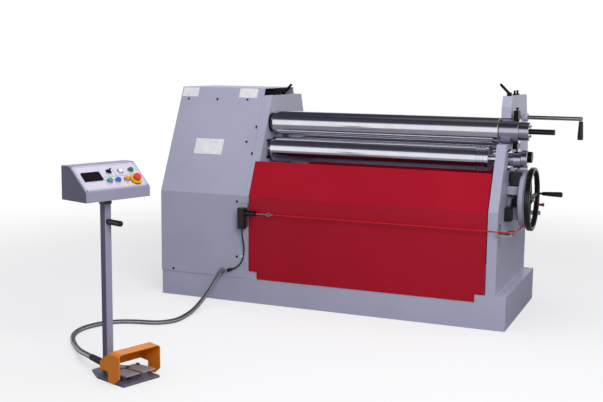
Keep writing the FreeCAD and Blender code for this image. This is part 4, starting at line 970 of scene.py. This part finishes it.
class PLATE_ROLL_OT_studio(bpy.types.Operator):
    """Pale floor, soft lamps, white backdrop and the camera at the photograph's angle"""
    bl_idname = "plate_roll.studio"
    bl_label = "Studio"

    def execute(self, context):
        stage = context.scene.plate_roll_stage
        context.scene.view_settings.view_transform = "Standard"
        self.camera(context, stage)
        self.world(context, stage)
        self.floor()
        white, warm = (1.0, 1.0, 1.0), (1.0, 0.90, 0.86)
        for name, place, aim, size, power, shade in (
                ("front_softbox", (2.7, -4.2, 3.3), (0.3, -0.2, 0.7), 2.6, stage.key, white),
                ("top_softbox", (0.0, -0.6, 4.6), (0.0, -0.2, 0.6), 3.6, stage.top, white),
                ("side_softbox", (5.0, -3.0, 2.6), (0.6, -0.4, 0.6), 2.6, stage.side, warm)):
            lamp = bpy.data.lights.new(name, "AREA")
            lamp.shape = "SQUARE"
            lamp.size = size
            lamp.energy = power
            lamp.color = shade
            obj = linked(name, lamp)
            obj.visible_glossy = False
            way = Vector(aim) - Vector(place)
            obj.matrix_world = Matrix.Translation(place) @ way.to_track_quat("-Z", "Y").to_matrix().to_4x4()
        return {"FINISHED"}

    def camera(self, context, stage):
        """Camera at the photograph's place and angle, fitted to the machine's corners"""
        photo_width = 603
        data = bpy.data.cameras.new("photo_camera")
        data.lens = stage.camera_lens
        data.sensor_width = 36.0
        data.shift_y = -1.3 / photo_width
        camera = linked("photo_camera", data)
        ahead = Vector((-0.3836, 0.9129, -0.1396)).normalized()
        level = ahead.cross(Vector((0, 0, 1))).normalized()
        upright = level.cross(ahead)
        roll = 0.0101
        right = level * math.cos(roll) + upright * math.sin(roll)
        up = right.cross(ahead)
        turn = Matrix((right, up, -ahead)).transposed().to_4x4()
        camera.matrix_world = Matrix.Translation(stage.camera_place) @ turn
        context.scene.camera = camera

    def world(self, context, stage):
        """White for the camera, a soft fill for matt paint and bands for polished metal"""
        world = bpy.data.worlds.new("studio")
        context.scene.world = world
        world.use_nodes = True
        tree = world.node_tree
        tree.nodes.clear()
        path = add(tree, "ShaderNodeLightPath").outputs
        seen = add(tree, "ShaderNodeMath", {0: path["Is Camera Ray"], 1: path["Is Transmission Ray"]},
                   operation="MAXIMUM")
        way = add(tree, "ShaderNodeTexCoord").outputs["Generated"]
        height = add(tree, "ShaderNodeSeparateXYZ", {"Vector": way}).outputs["Z"]
        # What polished metal mirrors: a bright band over the horizon under a darker ceiling
        band = add(tree, "ShaderNodeValToRGB", {"Fac": height},
                   [(0.0, (1.0, 1.0, 1.0)), (0.36, (1.0, 1.0, 1.0)), (0.46, (0.55, 0.55, 0.60)),
                    (0.54, (0.07, 0.07, 0.10)), (0.92, (0.04, 0.04, 0.06)), (1.0, (0.22, 0.20, 0.16))])
        soft = add(tree, "ShaderNodeBackground", {"Color": (0.93, 0.94, 1.0, 1.0), "Strength": stage.fill})
        mirrored = add(tree, "ShaderNodeBackground", {"Color": band, "Strength": 1.0})
        white = add(tree, "ShaderNodeBackground", {"Color": paints().background, "Strength": 1.0})
        lit = add(tree, "ShaderNodeMixShader", {"Fac": path["Is Glossy Ray"], 1: soft, 2: mirrored})
        shown = add(tree, "ShaderNodeMixShader", {"Fac": seen, 1: lit, 2: white})
        add(tree, "ShaderNodeOutputWorld", {"Surface": shown})

    def floor(self):
        """Pale floor that fades to white away from the machine"""
        half, level = 60, -0.0006
        material, tree, place = new_material("studio_floor")
        reach = add(tree, "ShaderNodeVectorMath", {0: place}, operation="LENGTH").outputs["Value"]
        path = add(tree, "ShaderNodeLightPath").outputs
        # The camera sees a pale floor with a soft shadow that fades to white
        seen = add(tree, "ShaderNodeMapRange", {"Value": reach, "From Min": 1.6, "From Max": 4.5,
            "To Min": 0.55}, interpolation_type="SMOOTHSTEP")
        # Polished metal mirrors it grey under the machine and white further out
        mirrored = add(tree, "ShaderNodeMapRange", {"Value": reach, "From Min": 3.6, "From Max": 5.2},
                       interpolation_type="SMOOTHSTEP")
        share = add(tree, "ShaderNodeMix", {0: path["Is Glossy Ray"], 2: 0.0, 3: mirrored}, data_type="FLOAT")
        glow_share = add(tree, "ShaderNodeMix", {0: path["Is Camera Ray"], 2: share.outputs[0], 3: seen},
            data_type="FLOAT")
        pale = add(tree, "ShaderNodeMix", {"Factor": path["Is Camera Ray"], 6: linear("9A9AA2"),
            7: linear("F8F8FA")}, data_type="RGBA")
        matt = add(tree, "ShaderNodeBsdfDiffuse", {"Color": pale.outputs[2]})
        glow = add(tree, "ShaderNodeEmission", {"Color": paints().background, "Strength": 1.0})
        both = add(tree, "ShaderNodeMixShader", {"Fac": glow_share.outputs[0], 1: matt, 2: glow})
        add(tree, "ShaderNodeOutputMaterial", {"Surface": both})
        mesh = bpy.data.meshes.new("studio_floor")
        mesh.from_pydata([(-half, -half, level), (half, -half, level), (half, half, level), (-half, half,
            level)], [], [(0, 1, 2, 3)])
        mesh.materials.append(material)
        linked("studio_floor", mesh)


OPERATORS = (PLATE_ROLL_OT_studio, PLATE_ROLL_OT_control_hose, PLATE_ROLL_OT_welded_frame,
    PLATE_ROLL_OT_guards, PLATE_ROLL_OT_rolls, PLATE_ROLL_OT_hand_controls, PLATE_ROLL_OT_trip_rope,
    PLATE_ROLL_OT_foot_switch, PLATE_ROLL_OT_console, PLATE_ROLL_OT_fasteners)


SETTINGS = {"plate_roll_paints": PlateRollPaints, "plate_roll_sizes": PlateRollSizes,
            "plate_roll_stage": PlateRollStage}


class PLATE_ROLL_PT_panel(bpy.types.Panel):
    """Lists the pieces and their sizes and colours"""
    bl_idname = "PLATE_ROLL_PT_panel"
    bl_label = "Plate Roll"
    bl_space_type = "VIEW_3D"
    bl_region_type = "UI"
    bl_category = "Plate Roll"

    def draw(self, context):
        for setting, group in SETTINGS.items():
            box = self.layout.box()
            for name in group.__annotations__:
                box.prop(getattr(context.scene, setting), name)
        for operator in OPERATORS:
            self.layout.operator(operator.bl_idname)


CLASSES = (*SETTINGS.values(), *OPERATORS, PLATE_ROLL_PT_panel)


def register():
    for item in CLASSES:
        bpy.utils.register_class(item)
    for setting, group in SETTINGS.items():
        setattr(bpy.types.Scene, setting, PointerProperty(type=group))


def unregister():
    for setting in SETTINGS:
        delattr(bpy.types.Scene, setting)
    for item in reversed(CLASSES):
        bpy.utils.unregister_class(item)


def main():
    register()
    for operator in OPERATORS:
        group, name = operator.bl_idname.split(".")
        getattr(getattr(bpy.ops, group), name)()


if __name__ == "__main__":
    main()
